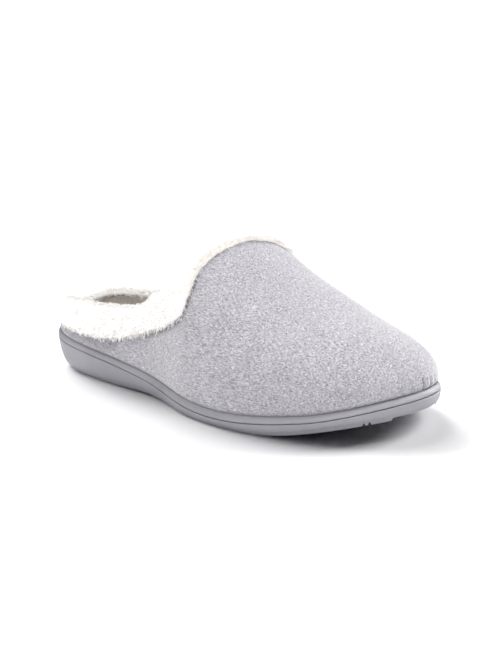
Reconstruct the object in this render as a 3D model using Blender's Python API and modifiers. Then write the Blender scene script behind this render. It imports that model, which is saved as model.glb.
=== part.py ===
"""Felt slipper for the right foot: outsole, midsole, insole, upper and fleece collar.

Sizes are millimetres in the tables and are turned into metres where a mesh is made.
+X points to the toe, +Y to the inner (big toe) side, +Z up. The floor is z = 0.
"""
import bmesh
import bpy
import numpy as np

MM = 0.001

# Overall sizes
LENGTH = 258.0
TOE_TIP_Y = 7.5
WALL = 3.0
SEAT_GAP = 0.3
INSOLE_THICK = 4.0
INSOLE_INSET = 6.2
GROOVE_GAP = 0.3
ARCH_LIFT = 2.0
TOE_SPRING = 9.5

# Tread
TREAD_DEPTH = 1.6
GROOVE_WIDTH = 2.6
GROOVE_SLOPE = 0.5
HEEL_GROOVES = (26.0, 36.0, 46.0, 56.0)
BALL_GROOVES = (150.0, 160.0, 170.0, 180.0, 190.0, 200.0, 210.0, 220.0, 230.0, 239.0)
EDGE_NOTCHES = (230.0, 239.0)
TREAD_MARGIN = 4.0

# Mesh counts
SOLE_STEPS = 34
UPPER_ROWS = 10
VAMP_STEPS = 16
COLLAR_STEPS = 36

# Plan outline: station along the length, width to the outer side, width to the inner side
OUTLINE = (
    (0.02, 14.0, 13.5),
    (0.08, 25.5, 25.5),
    (0.18, 31.0, 29.5),
    (0.30, 33.0, 29.0),
    (0.42, 35.5, 28.5),
    (0.54, 44.0, 33.5),
    (0.66, 47.5, 42.5),
    (0.78, 43.5, 46.5),
    (0.88, 32.5, 42.5),
    (0.96, 16.0, 31.0),
)

# Sole heights: station, line between outsole and midsole, line between midsole and felt
SOLE_HEIGHTS = (
    (0.00, 18.0, 23.5),
    (0.25, 13.5, 18.0),
    (0.45, 7.5, 11.8),
    (0.65, 4.2, 8.6),
    (0.85, 8.2, 12.4),
    (1.00, 16.8, 21.0),
)

# Bottom edge of the outsole: station, how far it is tucked in
BOTTOM_INSET = ((0.00, 6.0), (0.12, 2.8), (0.50, 2.4), (0.80, 2.4), (1.00, 3.0))

# Last: station, height of the ridge line, its shift to the inner side, fullness of the section,
# and how far the felt's foot line lies inside the sole outline
LAST = (
    (0.00, 80.0, 0.0, 2.30, 2.4),
    (0.20, 85.0, 1.5, 2.25, 2.0),
    (0.40, 87.5, 3.0, 2.18, 1.2),
    (0.56, 83.5, 4.5, 2.15, 0.9),
    (0.70, 65.5, 5.0, 2.15, 0.8),
    (0.85, 49.0, 7.5, 2.35, 0.7),
    (1.00, 41.0, 7.5, 2.65, 0.7),
)
RIDGE_START = 0.15
RIDGE_END = 0.80

# Slant of the sections: station, how much further forward they end on the inner side
INNER_SLANT = ((0.00, 0.0), (0.30, 0.0), (0.60, 0.09), (1.00, 0.0))

# Collar, from the heel to the throat. The climb is 0 at the sole and 1 on the ridge line.
# Station of the felt wall's foot, then station and climb of the cuff's lower edge and of its rim,
# then thickness of the fleece outside and inside the felt
COLLAR = (
    (0.000, 0.000, 0.028, 0.000, 0.088, 2.4, 3.6),
    (0.020, 0.020, 0.026, 0.020, 0.094, 2.4, 3.6),
    (0.080, 0.080, 0.026, 0.080, 0.112, 2.6, 3.6),
    (0.160, 0.160, 0.030, 0.160, 0.148, 3.0, 3.6),
    (0.235, 0.235, 0.040, 0.232, 0.195, 3.4, 3.6),
    (0.300, 0.305, 0.072, 0.300, 0.240, 3.4, 3.6),
    (0.365, 0.370, 0.126, 0.370, 0.290, 3.4, 3.6),
    (0.425, 0.440, 0.190, 0.440, 0.362, 3.4, 3.6),
    (0.475, 0.505, 0.258, 0.495, 0.445, 3.4, 3.5),
    (0.510, 0.548, 0.335, 0.525, 0.520, 3.2, 3.3),
    (0.540, 0.560, 0.430, 0.540, 0.582, 2.9, 3.0),
    (0.568, 0.568, 0.525, 0.547, 0.640, 2.5, 2.7),
    (0.595, 0.582, 0.620, 0.558, 0.702, 2.2, 2.5),
    (0.620, 0.602, 0.715, 0.577, 0.776, 2.0, 2.4),
    (0.642, 0.626, 0.810, 0.600, 0.850, 2.0, 2.4),
    (0.662, 0.652, 0.905, 0.624, 0.925, 2.0, 2.4),
    (0.680, 0.682, 1.000, 0.650, 1.000, 2.0, 2.4),
)
CUFF_OVER_EDGE = 2.6
CUFF_INNER_DEPTH = 11.0
CUFF_GAP = 0.6

MATERIALS = {
    "grey_rubber": ((0.36, 0.36, 0.39, 1.0), 0.55),
    "grey_foam": ((0.42, 0.42, 0.45, 1.0), 0.60),
    "grey_wool_felt": ((0.60, 0.59, 0.62, 1.0), 0.95),
    "white_fleece": ((0.93, 0.90, 0.87, 1.0), 0.95),
    "beige_footbed_cloth": ((0.40, 0.39, 0.36, 1.0), 0.90),
}


def clear_scene():
    for old in list(bpy.data.objects):
        bpy.data.objects.remove(old, do_unlink=True)


def through(xs, ys, x):
    """Smooth curve through the points (xs, ys) that never overshoots, read at x."""
    xs = np.asarray(xs, float)
    ys = np.asarray(ys, float)
    x = np.asarray(x, float)
    step = np.diff(xs)
    rise = np.diff(ys) / step
    before, after = rise[:-1], rise[1:]
    a = 2.0 * step[1:] + step[:-1]
    b = step[1:] + 2.0 * step[:-1]
    same = before * after > 0.0
    safe_before = np.where(same, before, 1.0)
    safe_after = np.where(same, after, 1.0)
    slope = np.zeros_like(ys)
    slope[1:-1] = np.where(same, (a + b) / (a / safe_before + b / safe_after), 0.0)
    slope[0], slope[-1] = rise[0], rise[-1]
    i = np.clip(np.searchsorted(xs, x) - 1, 0, len(xs) - 2)
    t = np.clip((x - xs[i]) / step[i], 0.0, 1.0)
    low = (1.0 + 2.0 * t) * (1.0 - t) ** 2 * ys[i] + t * (1.0 - t) ** 2 * step[i] * slope[i]
    high = t * t * (3.0 - 2.0 * t) * ys[i + 1] + t * t * (t - 1.0) * step[i] * slope[i + 1]
    return low + high


def closed_curve(points, count):
    """Closed cubic spline through plan points, as count points."""
    p = np.asarray(points, float)
    n = len(p)
    h = np.sqrt(np.linalg.norm(np.roll(p, -1, axis=0) - p, axis=1))
    before = np.roll(h, 1)
    band = np.diag(2.0 * (before + h))
    rows = np.arange(n)
    band[rows, rows - 1] += before
    band[rows, (rows + 1) % n] += h
    ahead = (np.roll(p, -1, axis=0) - p) / h[:, None]
    bend = np.linalg.solve(band, 6.0 * (ahead - np.roll(ahead, 1, axis=0)))
    knots = np.concatenate([[0.0], np.cumsum(h)])
    u = np.linspace(0.0, knots[-1], count, endpoint=False)
    i = np.clip(np.searchsorted(knots, u, side="right") - 1, 0, n - 1)
    j = (i + 1) % n
    t = (u - knots[i])[:, None]
    r = (knots[i + 1] - u)[:, None]
    w = h[i][:, None]
    cubic = (bend[i] * r ** 3 + bend[j] * t ** 3) / (6.0 * w)
    return cubic + (p[i] / w - bend[i] * w / 6.0) * r + (p[j] / w - bend[j] * w / 6.0) * t


class Plan:
    """Outline of the sole seen from above, split into an outer and an inner side."""

    def __init__(self):
        outer = [(s * LENGTH, -a) for s, a, b in OUTLINE]
        inner = [(s * LENGTH, b) for s, a, b in reversed(OUTLINE)]
        p = closed_curve([(0.0, 0.0)] + outer + [(LENGTH, TOE_TIP_Y)] + inner, 2400)
        p = np.roll(p, -int(np.argmin(p[:, 0])), axis=0)
        along = np.roll(p, -1, axis=0) - np.roll(p, 1, axis=0)
        normal = np.stack([along[:, 1], -along[:, 0]], axis=1)
        normal = -normal / np.linalg.norm(normal, axis=1)[:, None]
        if np.sum(normal * (p - p.mean(axis=0))) < 0.0:
            normal = -normal
        toe = int(np.argmax(p[:, 0]))
        self.first, self.last = p[0, 0], p[toe, 0]
        self.low_y, self.high_y = p[:, 1].min(), p[:, 1].max()
        outer_ids = np.arange(0, toe + 1)
        inner_ids = np.concatenate([[0], np.arange(len(p) - 1, toe - 1, -1)])
        self.sides = [(p[ids], normal[ids]) for ids in (outer_ids, inner_ids)]

    def at(self, station, inset, side):
        """Plan points at the stations on one side, moved inward by the inset."""
        p, normal = self.sides[side]
        x = self.first + (self.last - self.first) * np.asarray(station, float)
        place = np.interp(x, p[:, 0], np.arange(len(p)))
        index = np.arange(len(p))
        q = np.stack([np.interp(place, index, p[:, k]) for k in range(2)], axis=-1)
        m = np.stack([np.interp(place, index, normal[:, k]) for k in range(2)], axis=-1)
        m = m / np.linalg.norm(m, axis=-1, keepdims=True)
        return q - m * np.asarray(inset, float)[..., None]

    def ring(self, station, inset):
        """Closed ring of plan points: outer side from heel to toe, then inner side back."""
        inset = np.broadcast_to(np.asarray(inset, float), np.shape(station))
        outer = self.at(station, inset, 0)
        inner = self.at(station, inset, 1)
        return np.concatenate([outer, inner[-2:0:-1]])


PLAN = Plan()
HEIGHT_S, HEIGHT_GROOVE, HEIGHT_FELT = (np.array(c) for c in zip(*SOLE_HEIGHTS))
LAST_S, LAST_RIDGE, LAST_SHIFT, LAST_FULL, LAST_FOOT = (np.array(c) for c in zip(*LAST))


def groove_z(x):
    return through(HEIGHT_S, HEIGHT_GROOVE, x / LENGTH)


def felt_z(x):
    return through(HEIGHT_S, HEIGHT_FELT, x / LENGTH)


def bottom_z(x):
    """Floor side of the outsole: flat heel, lifted arch, flat ball, sprung toe."""
    s = x / LENGTH
    stations = (0.0, 0.08, 0.25, 0.40, 0.55, 0.74, 1.0)
    return through(stations, (2.5, 0.0, 0.0, ARCH_LIFT, 0.0, 0.0, TOE_SPRING), s)


def tread_lift(x, grooves):
    """Height of the cross grooves above the tread at x."""
    lift = np.zeros_like(x)
    half = GROOVE_WIDTH / 2.0
    for centre in grooves:
        away = np.abs(x - centre)
        lift = np.maximum(lift, np.clip((half + GROOVE_SLOPE - away) / GROOVE_SLOPE, 0.0, 1.0))
    return lift * TREAD_DEPTH


def turned(count):
    """Stations crowded at heel and toe, so that both ends are round."""
    return 0.5 - 0.5 * np.cos(np.linspace(0.0, np.pi, count + 1))


def last_point(station, climb, side):
    """Point on the last's outside: foot line at climb 0, ridge line at climb 1."""
    station = np.asarray(station, float)
    climb = np.clip(np.asarray(climb, float), 0.0, 1.0)
    foot_s = station + side * through(*zip(*INNER_SLANT), station)
    foot = PLAN.at(foot_s, through(LAST_S, LAST_FOOT, foot_s), side)
    ridge_s = RIDGE_START + station * (RIDGE_END - RIDGE_START)
    ridge_y = through(LAST_S, LAST_SHIFT, ridge_s)
    full = through(LAST_S, LAST_FULL, station)
    spread = np.cos(climb * np.pi / 2.0) ** (2.0 / full)
    rise = np.sin(climb * np.pi / 2.0) ** (2.0 / full)
    x = ridge_s * LENGTH + (foot[..., 0] - ridge_s * LENGTH) * spread
    y = ridge_y + (foot[..., 1] - ridge_y) * spread
    base = felt_z(foot[..., 0]) + SEAT_GAP
    z = base + (through(LAST_S, LAST_RIDGE, x / LENGTH) - base) * rise
    return np.stack([x, y, z], axis=-1)


def mesh_object(name, verts, faces, material, collection):
    """Closed mesh from millimetre points; loose ends are welded and normals turned outward."""
    centre = np.array([(PLAN.first + PLAN.last) / 2.0, (PLAN.low_y + PLAN.high_y) / 2.0, 0.0])
    mesh = bpy.data.meshes.new(name)
    mesh.from_pydata(((np.asarray(verts) - centre) * MM).tolist(), [], faces)
    bm = bmesh.new()
    bm.from_mesh(mesh)
    bmesh.ops.remove_doubles(bm, verts=bm.verts, dist=0.00001)
    bmesh.ops.recalc_face_normals(bm, faces=bm.faces)
    bm.to_mesh(mesh)
    bm.free()
    obj = bpy.data.objects.new(name, mesh)
    mesh.materials.append(material)
    collection.objects.link(obj)
    return obj


def ring_faces(rings, count, closed=False):
    """Quads between neighbouring rings of count points."""
    faces = []
    last = rings if closed else rings - 1
    for r in range(last):
        for i in range(count):
            j = (i + 1) % count
            a, b = r * count, ((r + 1) % rings) * count
            faces.append((a + i, a + j, b + j, b + i))
    return faces


def ladder_faces(start, steps):
    """Cap of a ring: quads across from the outer to the inner side."""
    count = 2 * steps
    faces = [(start, start + 1, start + count - 1)]
    for k in range(1, steps - 1):
        faces.append((start + k, start + k + 1, start + count - k - 1, start + count - k))
    faces.append((start + steps - 1, start + steps, start + steps + 1))
    return faces


def slab(name, station, levels, material, collection):
    """Solid from rings of plan points; levels are pairs of inset and height function.

    A height is read from a point's own x, and from the x of the station it belongs to.
    """
    verts = []
    own = np.concatenate([station, station[-2:0:-1]]) * LENGTH
    for inset, height in levels:
        ring = PLAN.ring(station, inset)
        verts.append(np.column_stack([ring, height(ring[:, 0], own)]))
    steps = len(station) - 1
    count = 2 * steps
    faces = ring_faces(len(levels), count)
    faces += ladder_faces(0, steps)
    faces += ladder_faces((len(levels) - 1) * count, steps)
    return mesh_object(name, np.concatenate(verts), faces, material, collection)


def sole_stations():
    """Even turn stations, with four more at each tread groove."""
    half = GROOVE_WIDTH / 2.0
    edges = []
    for centre in HEEL_GROOVES + BALL_GROOVES:
        for off in (-half - GROOVE_SLOPE, -half, half, half + GROOVE_SLOPE):
            edges.append((centre + off) / LENGTH)
    edges = np.array(edges)
    plain = turned(SOLE_STEPS)
    clear = np.min(np.abs(plain[:, None] - edges[None, :]), axis=1) > 0.006
    clear[0] = clear[-1] = True
    return np.unique(np.concatenate([plain[clear], edges]))


def build_outsole(materials, collection):
    station = sole_stations()
    tucked = through(*zip(*BOTTOM_INSET), station)

    def between(part):
        def height(x, own):
            low = bottom_z(x)
            return low + (groove_z(x) - GROOVE_GAP / 2.0 - low) * part
        return height

    def tread(grooves, least=0.0):
        return lambda x, own: bottom_z(x) + np.maximum(tread_lift(own, grooves), least)

    levels = [
        (tucked + TREAD_MARGIN + GROOVE_SLOPE, tread(HEEL_GROOVES + BALL_GROOVES)),
        (tucked + TREAD_MARGIN, tread(EDGE_NOTCHES)),
        (tucked + 0.9, tread(EDGE_NOTCHES)),
        (tucked, tread(EDGE_NOTCHES, 0.7)),
        (tucked * 0.45, between(0.50)),
        (tucked * 0.15 + 0.1, between(0.76)),
        (np.full_like(tucked, 0.5), between(0.93)),
        (np.full_like(tucked, 1.3), between(1.0)),
    ]
    return slab("outsole", station, levels, materials["grey_rubber"], collection)


def build_midsole(materials, collection):
    station = turned(SOLE_STEPS)

    def between(part):
        def height(x, own):
            low = groove_z(x) + GROOVE_GAP / 2.0
            return low + (felt_z(x) - low) * part
        return height

    levels = [
        (1.3, between(0.0)),
        (0.25, between(0.22)),
        (0.0, between(0.5)),
        (0.3, between(0.82)),
        (1.2, between(1.0)),
    ]
    return slab("midsole", station, levels, materials["grey_foam"], collection)


def build_insole(materials, collection):
    station = turned(SOLE_STEPS)

    def above(height):
        return lambda x, own: felt_z(x) + SEAT_GAP + height

    levels = [
        (INSOLE_INSET, above(0.0)),
        (INSOLE_INSET, above(INSOLE_THICK - 1.0)),
        (INSOLE_INSET + 1.0, above(INSOLE_THICK)),
    ]
    return slab("insole", station, levels, materials["beige_footbed_cloth"], collection)


def collar_rows(count):
    """Collar table read at count + 1 places from the heel to the throat."""
    table = np.array(COLLAR)
    table[:, (0, 1, 3)] = np.arccos(1.0 - 2.0 * table[:, (0, 1, 3)]) / np.pi
    place = np.linspace(0.0, len(table) - 1.0, count + 1)
    rows = np.stack([through(np.arange(len(table)), c, place) for c in table.T], axis=1)
    rows[:, (0, 1, 3)] = 0.5 - 0.5 * np.cos(rows[:, (0, 1, 3)] * np.pi)
    return rows


def cuff_share(rows, side, back):
    """How far up from the cuff's lower edge a point lies that is back mm short of the rim."""
    low = last_point(rows[:, 1], rows[:, 2], side)
    rim = last_point(rows[:, 3], rows[:, 4], side)
    return 1.0 - back / np.linalg.norm(rim - low, axis=1)


def felt_edge(rows, side):
    """Station and climb of the felt's cut edge, which the cuff covers."""
    share = np.clip(cuff_share(rows, side, CUFF_OVER_EDGE), 0.0, 1.0)
    station = rows[:, 1] + (rows[:, 3] - rows[:, 1]) * share
    climb = rows[:, 2] + (rows[:, 4] - rows[:, 2]) * share
    return station, climb


def build_upper(materials, collection):
    """Felt shell over the last, from the foot line to the collar edge and over the vamp."""
    rows = collar_rows(COLLAR_STEPS)
    verts = []
    faces = []
    for side in (0, 1):
        station, climb = felt_edge(rows, side)
        vamp = np.linspace(0.0, 1.0, VAMP_STEPS + 1)[1:]
        foot_turn = np.arccos(1.0 - 2.0 * rows[-1, 0]) / np.pi
        top_turn = np.arccos(1.0 - 2.0 * station[-1]) / np.pi
        foot = 0.5 - 0.5 * np.cos((foot_turn + (1.0 - foot_turn) * vamp) * np.pi)
        top = 0.5 - 0.5 * np.cos((top_turn + (1.0 - top_turn) * vamp) * np.pi)
        foot = np.concatenate([rows[:, 0], foot])
        top = np.concatenate([station, top])
        climb = np.concatenate([climb, np.ones(VAMP_STEPS)])
        up = np.linspace(0.0, 1.0, UPPER_ROWS + 1)[:, None]
        grid = last_point(foot + (top - foot) * up, climb * up, side)
        start = sum(len(v) for v in verts)
        columns = grid.shape[1]
        verts.append(grid.reshape(-1, 3))
        for r in range(UPPER_ROWS):
            for c in range(columns - 1):
                a = start + r * columns + c
                faces.append((a, a + 1, a + columns + 1, a + columns))
    obj = mesh_object("upper", np.concatenate(verts), faces, materials["grey_wool_felt"], collection)
    wall = obj.modifiers.new("wall", "SOLIDIFY")
    wall.thickness = WALL * MM
    wall.offset = -1.0
    wall.use_even_offset = True
    wall.use_rim = True
    return obj


def lifted(station, climb, side, off):
    """Last point moved outward by off along the surface normal."""
    small = 0.004
    turn = np.arccos(1.0 - 2.0 * station) / np.pi

    def read(t, c):
        flip = t < 0.0
        s = 0.5 - 0.5 * np.cos(t * np.pi)
        near = last_point(s, np.where(c > 1.0, 2.0 - c, c), side)
        across = last_point(s, np.where(c > 1.0, 2.0 - c, c), 1 - side)
        other = (flip | (c > 1.0)) & ~(flip & (c > 1.0))
        return np.where(other[..., None], across, near)

    along = read(turn + small, climb) - read(turn - small, climb)
    up = read(turn, climb + small) - read(turn, np.maximum(climb - small, 0.0))
    normal = np.cross(along, up)
    normal = normal / np.linalg.norm(normal, axis=-1, keepdims=True)
    if side == 1:
        normal = -normal
    return read(turn, climb) + normal * np.asarray(off)[..., None]


def build_collar(materials, collection):
    """Fleece cuff folded over the felt edge: a ring with a hooked section."""
    rows = collar_rows(COLLAR_STEPS)
    halves = []
    for side in (0, 1):
        edge = np.clip(cuff_share(rows, side, CUFF_OVER_EDGE - CUFF_GAP), 0.0, 1.0)
        inner = np.clip(cuff_share(rows, side, CUFF_INNER_DEPTH), 0.32, 0.6)
        low, top = np.zeros_like(edge), np.ones_like(edge)
        out, lining = rows[:, 5], rows[:, 6]
        section = (
            (low, np.full_like(out, CUFF_GAP)),
            (low, out * 0.62),
            (low + 0.12, out * 0.92),
            (low + 0.45, out),
            (low + 0.80, out * 0.86),
            (top, out * 0.42),
            (top, -WALL - lining * 0.45),
            (top * 0.62 + inner * 0.38, -WALL - lining),
            (inner, -WALL - lining * 0.8),
            (inner, np.full_like(out, -WALL - CUFF_GAP)),
            (edge, np.full_like(out, -WALL - CUFF_GAP)),
            (edge, np.full_like(out, CUFF_GAP)),
        )
        rings = []
        for share, off in section:
            station = np.clip(rows[:, 1] + (rows[:, 3] - rows[:, 1]) * share, 0.0, 1.0)
            climb = np.clip(rows[:, 2] + (rows[:, 4] - rows[:, 2]) * share, 0.004, 1.0)
            rings.append(lifted(station, climb, side, off))
        halves.append(np.stack(rings, axis=1))
    loop = np.concatenate([halves[0], halves[1][-2:0:-1]])
    count = loop.shape[1]
    faces = ring_faces(len(loop), count, closed=True)
    return mesh_object("collar", loop.reshape(-1, 3), faces, materials["white_fleece"], collection)


def make_materials():
    made = {}
    for name, (colour, rough) in MATERIALS.items():
        material = bpy.data.materials.new(name)
        material.use_nodes = True
        shader = material.node_tree.nodes["Principled BSDF"]
        shader.inputs["Base Color"].default_value = colour
        shader.inputs["Roughness"].default_value = rough
        shader.inputs["Metallic"].default_value = 0.0
        made[name] = material
    return made


def main():
    clear_scene()
    collection = bpy.data.collections.new("felt_slipper")
    bpy.context.scene.collection.children.link(collection)
    materials = make_materials()
    build_outsole(materials, collection)
    build_midsole(materials, collection)
    build_insole(materials, collection)
    build_upper(materials, collection)
    build_collar(materials, collection)


main()
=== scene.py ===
"""Looks of a felt slipper for the right foot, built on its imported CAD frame.

Shapes are worked out in millimetres from the heel: +X points to the toe, +Y to the inner
(big toe) side, +Z up, and the floor is z = 0. A mesh is moved to the frame's origin and
turned into metres when it is made.
"""
from __future__ import annotations

import logging
from dataclasses import dataclass
from enum import Enum, IntEnum

import bmesh
import bpy
import numpy as np
from mathutils import Matrix, Vector

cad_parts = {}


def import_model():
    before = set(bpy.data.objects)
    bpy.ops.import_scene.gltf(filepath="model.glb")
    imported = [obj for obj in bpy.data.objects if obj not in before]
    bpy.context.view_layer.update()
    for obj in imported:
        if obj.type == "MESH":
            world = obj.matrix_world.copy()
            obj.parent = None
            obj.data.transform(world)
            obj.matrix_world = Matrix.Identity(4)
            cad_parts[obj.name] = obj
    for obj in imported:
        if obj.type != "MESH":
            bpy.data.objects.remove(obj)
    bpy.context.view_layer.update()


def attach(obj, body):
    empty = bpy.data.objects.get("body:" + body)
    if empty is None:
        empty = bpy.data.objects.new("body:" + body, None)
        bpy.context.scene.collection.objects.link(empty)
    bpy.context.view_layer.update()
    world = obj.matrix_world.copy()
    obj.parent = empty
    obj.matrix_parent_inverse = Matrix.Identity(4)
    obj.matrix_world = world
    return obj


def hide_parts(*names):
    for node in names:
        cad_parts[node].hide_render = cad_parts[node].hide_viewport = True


Array = np.ndarray
Table = tuple[tuple[float, ...], ...]

MM = 0.001
WELD = 0.000002  # metres, points nearer than this become one
HASH = (374761393, 668265263, 1440662683)  # odd multipliers that scatter a lattice's cells
HASH_SEED = 974634777
HASH_MIX = 1274126177
WORD = 0xFFFFFFFF  # the lowest 32 bits
PLACED = ("Mapping", "TexNoise", "TexWave")  # kinds of node that read a place on the object
LOG = logging.getLogger("felt_slipper")


class Side(Enum):
    """Side of the shoe, seen from its wearer."""

    OUTER = 0
    INNER = 1


class Reach(Enum):
    """What a lamp shines on."""

    FLOOR = "floor"
    SHOE = "shoe_but_fleece"
    UPPER = "felt_and_footbed"
    SOLE = "sole"
    FLEECE = "fleece"


class LampKind(Enum):
    """Kind of lamp, by Blender's name."""

    SUN = "SUN"
    AREA = "AREA"


class Pile(Enum):
    """Patch of the cuff that a pile grows on: the piece's name, seeds of its roots and its fibres."""

    OUTER_SIDE = ("fleece_pile_outer_side", 21, 121)
    INNER_SIDE = ("fleece_pile_inner_side", 22, 122)
    INSIDE = ("fleece_pile_inside", 23, 123)


class Seed(IntEnum):
    """Seed of each random pattern in the fleece."""

    TUFT = 31
    RING_WAVE = 35
    HEM_WAVE = 36
    LEAN = 41  # and the next two
    HEIGHT = 44
    HANG = 45


# Curves and noise


def through(table: Table, column: int, x: Array) -> Array:
    """Smooth curve that never overshoots: cubic pieces with harmonic mean slopes.

    Args:
        table: rows whose first number is the place along the curve.
        column: column of the table that is read.
        x: places to read the curve at.

    Returns:
        The values at x.
    """
    data = np.asarray(table, float)
    xs, ys = data[:, 0], data[:, column]
    x = np.asarray(x, float)
    step = np.diff(xs)
    rise = np.diff(ys) / step
    before, after = rise[:-1], rise[1:]
    a = 2.0 * step[1:] + step[:-1]
    b = step[1:] + 2.0 * step[:-1]
    same = before * after > 0.0
    mean = (a + b) / (a / np.where(same, before, 1.0) + b / np.where(same, after, 1.0))
    slope = np.concatenate([rise[:1], np.where(same, mean, 0.0), rise[-1:]])
    i = np.clip(np.searchsorted(xs, x) - 1, 0, len(xs) - 2)
    t = np.clip((x - xs[i]) / step[i], 0.0, 1.0)
    low = (1.0 + 2.0 * t) * (1.0 - t) ** 2 * ys[i] + t * (1.0 - t) ** 2 * step[i] * slope[i]
    high = t * t * (3.0 - 2.0 * t) * ys[i + 1] + t * t * (t - 1.0) * step[i] * slope[i + 1]
    return low + high


def closed_curve(points: Array, count: int) -> Array:
    """Closed cubic spline through plan points, with knots by the root of their distance.

    Args:
        points: plan points in order, as rows of two numbers.
        count: number of points to return.

    Returns:
        The curve as count rows of two numbers.
    """
    p = np.asarray(points, float)
    n = len(p)
    h = np.sqrt(np.linalg.norm(np.roll(p, -1, axis=0) - p, axis=1))
    before = np.roll(h, 1)
    band = np.diag(2.0 * (before + h))
    rows = np.arange(n)
    band[rows, rows - 1] += before
    band[rows, (rows + 1) % n] += h
    ahead = (np.roll(p, -1, axis=0) - p) / h[:, None]
    bend = np.linalg.solve(band, 6.0 * (ahead - np.roll(ahead, 1, axis=0)))
    knots = np.concatenate([[0.0], np.cumsum(h)])
    u = np.linspace(0.0, knots[-1], count, endpoint=False)
    i = np.clip(np.searchsorted(knots, u, side="right") - 1, 0, n - 1)
    j = (i + 1) % n
    t = (u - knots[i])[:, None]
    r = (knots[i + 1] - u)[:, None]
    w = h[i][:, None]
    cubic = (bend[i] * r**3 + bend[j] * t**3) / (6.0 * w)
    return cubic + (p[i] / w - bend[i] * w / 6.0) * r + (p[j] / w - bend[j] * w / 6.0) * t


def station_of(turn: Array) -> Array:
    """Station for a turn from 0 to 1: half of one minus the cosine, crowded at both ends."""
    return 0.5 - 0.5 * np.cos(np.asarray(turn) * np.pi)


def turn_of(station: Array) -> Array:
    """Turn for a station, the other way round from station_of."""
    return np.arccos(1.0 - 2.0 * np.asarray(station)) / np.pi


def unit(vectors: Array) -> Array:
    """Vectors of length one along the last axis."""
    return vectors / np.maximum(np.linalg.norm(vectors, axis=-1, keepdims=True), 1e-12)


def span(ring: Array, axis: int = 0) -> Array:
    """Way from the neighbour before each point of a closed ring to the one after it."""
    return np.roll(ring, -1, axis) - np.roll(ring, 1, axis)


def bell(distance: Array, width: float) -> Array:
    """Bell curve: exp(-(distance / width)²)."""
    return np.exp(-((distance / width) ** 2))


def crowded(count: int) -> Array:
    """Shares from 0 to 1 in count steps, crowded at both ends."""
    return station_of(np.linspace(0.0, 1.0, count + 1))


def both_sides(outer: Array, inner: Array, axis: int = 0) -> Array:
    """Joins two sides that share their ends into one loop, out along the first and back."""
    return np.concatenate([outer, np.flip(np.delete(inner, (0, -1), axis), axis)], axis)


def lattice(cell: Array, seed: int) -> Array:
    """Random number for each whole-numbered cell, from its coordinates by multiply and xor.

    Args:
        cell: cell coordinates along the last axis.
        seed: number that tells one pattern from another.

    Returns:
        Numbers from 0 to 1.
    """
    number = (cell.astype(np.int64) @ np.array(HASH) + seed * HASH_SEED) & WORD
    number = ((number ^ (number >> 13)) * HASH_MIX) & WORD
    return (number ^ (number >> 16)) / WORD


def swell(points: Array, size: float, seed: int) -> Array:
    """Soft random swell: numbers on a cubic lattice, blended by 3t² − 2t³ in between.

    Args:
        points: places, in millimetres.
        size: lattice spacing, in millimetres.
        seed: number that tells one swell from another.

    Returns:
        Numbers from -1 to 1.
    """
    p = points / size
    low = np.floor(p)
    t = p - low
    t = t * t * (3.0 - 2.0 * t)
    total = np.zeros(points.shape[:-1])
    for corner in np.ndindex(2, 2, 2):
        share = np.prod(np.where(np.array(corner) == 1, t, 1.0 - t), axis=-1)
        total += share * lattice(low + corner, seed)
    return total * 2.0 - 1.0


def bobbles(points: Array, size: float, seed: int) -> tuple[Array, Array]:
    """Round bobbles: one minus the squared distance to the nearest jittered lattice point.

    Args:
        points: places, in millimetres.
        size: spacing of the bobbles, in millimetres.
        seed: number that tells one pattern from another.

    Returns:
        Numbers from 0 between bobbles to 1 on top of them, and the way to the nearest bobble's
        middle as a share of the spacing.
    """
    p = points / size
    low = np.floor(p)
    near = np.full(points.shape[:-1], np.inf)
    way = np.zeros_like(p)
    for corner in np.ndindex(3, 3, 3):
        cell = low + np.array(corner) - 1.0
        jitter = np.stack([lattice(cell, seed + k) for k in range(3)], axis=-1)
        to = cell + jitter - p
        far = np.sum(to**2, axis=-1)
        way = np.where((far < near)[..., None], to, way)
        near = np.minimum(near, far)
    return np.clip(1.0 - near, 0.0, 1.0), way


# Meshes and nodes


def quads(rows: int, columns: int, close_rows: bool = False, close_columns: bool = False) -> Array:
    """Corner numbers of a grid's quads, each cell joined to the next row and column.

    Args:
        rows: number of rows of points.
        columns: number of points in a row.
        close_rows: True if the last row joins the first.
        close_columns: True if the last column joins the first.

    Returns:
        Four corner numbers for each quad.
    """
    r = np.arange(rows if close_rows else rows - 1)[:, None]
    c = np.arange(columns if close_columns else columns - 1)[None, :]
    r2, c2 = (r + 1) % rows, (c + 1) % columns
    corners = (r * columns + c, r * columns + c2, r2 * columns + c2, r2 * columns + c)
    return np.stack(np.broadcast_arrays(*corners), axis=-1).reshape(-1, 4)


def ladder(start: int, steps: int) -> list[Array]:
    """Cap of a sole ring: rungs from the outer to the inner side, and a triangle at each end.

    Args:
        start: number of the ring's first point.
        steps: number of steps from heel to toe along one side.

    Returns:
        The corner numbers of the quads and of the two triangles.
    """
    count = 2 * steps
    k = np.arange(1, steps - 1)
    rungs = np.stack([k, k + 1, count - k - 1, count - k], axis=1)
    ends = np.array([[0, 1, count - 1], [steps - 1, steps, steps + 1]])
    return [rungs + start, ends + start]


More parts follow.
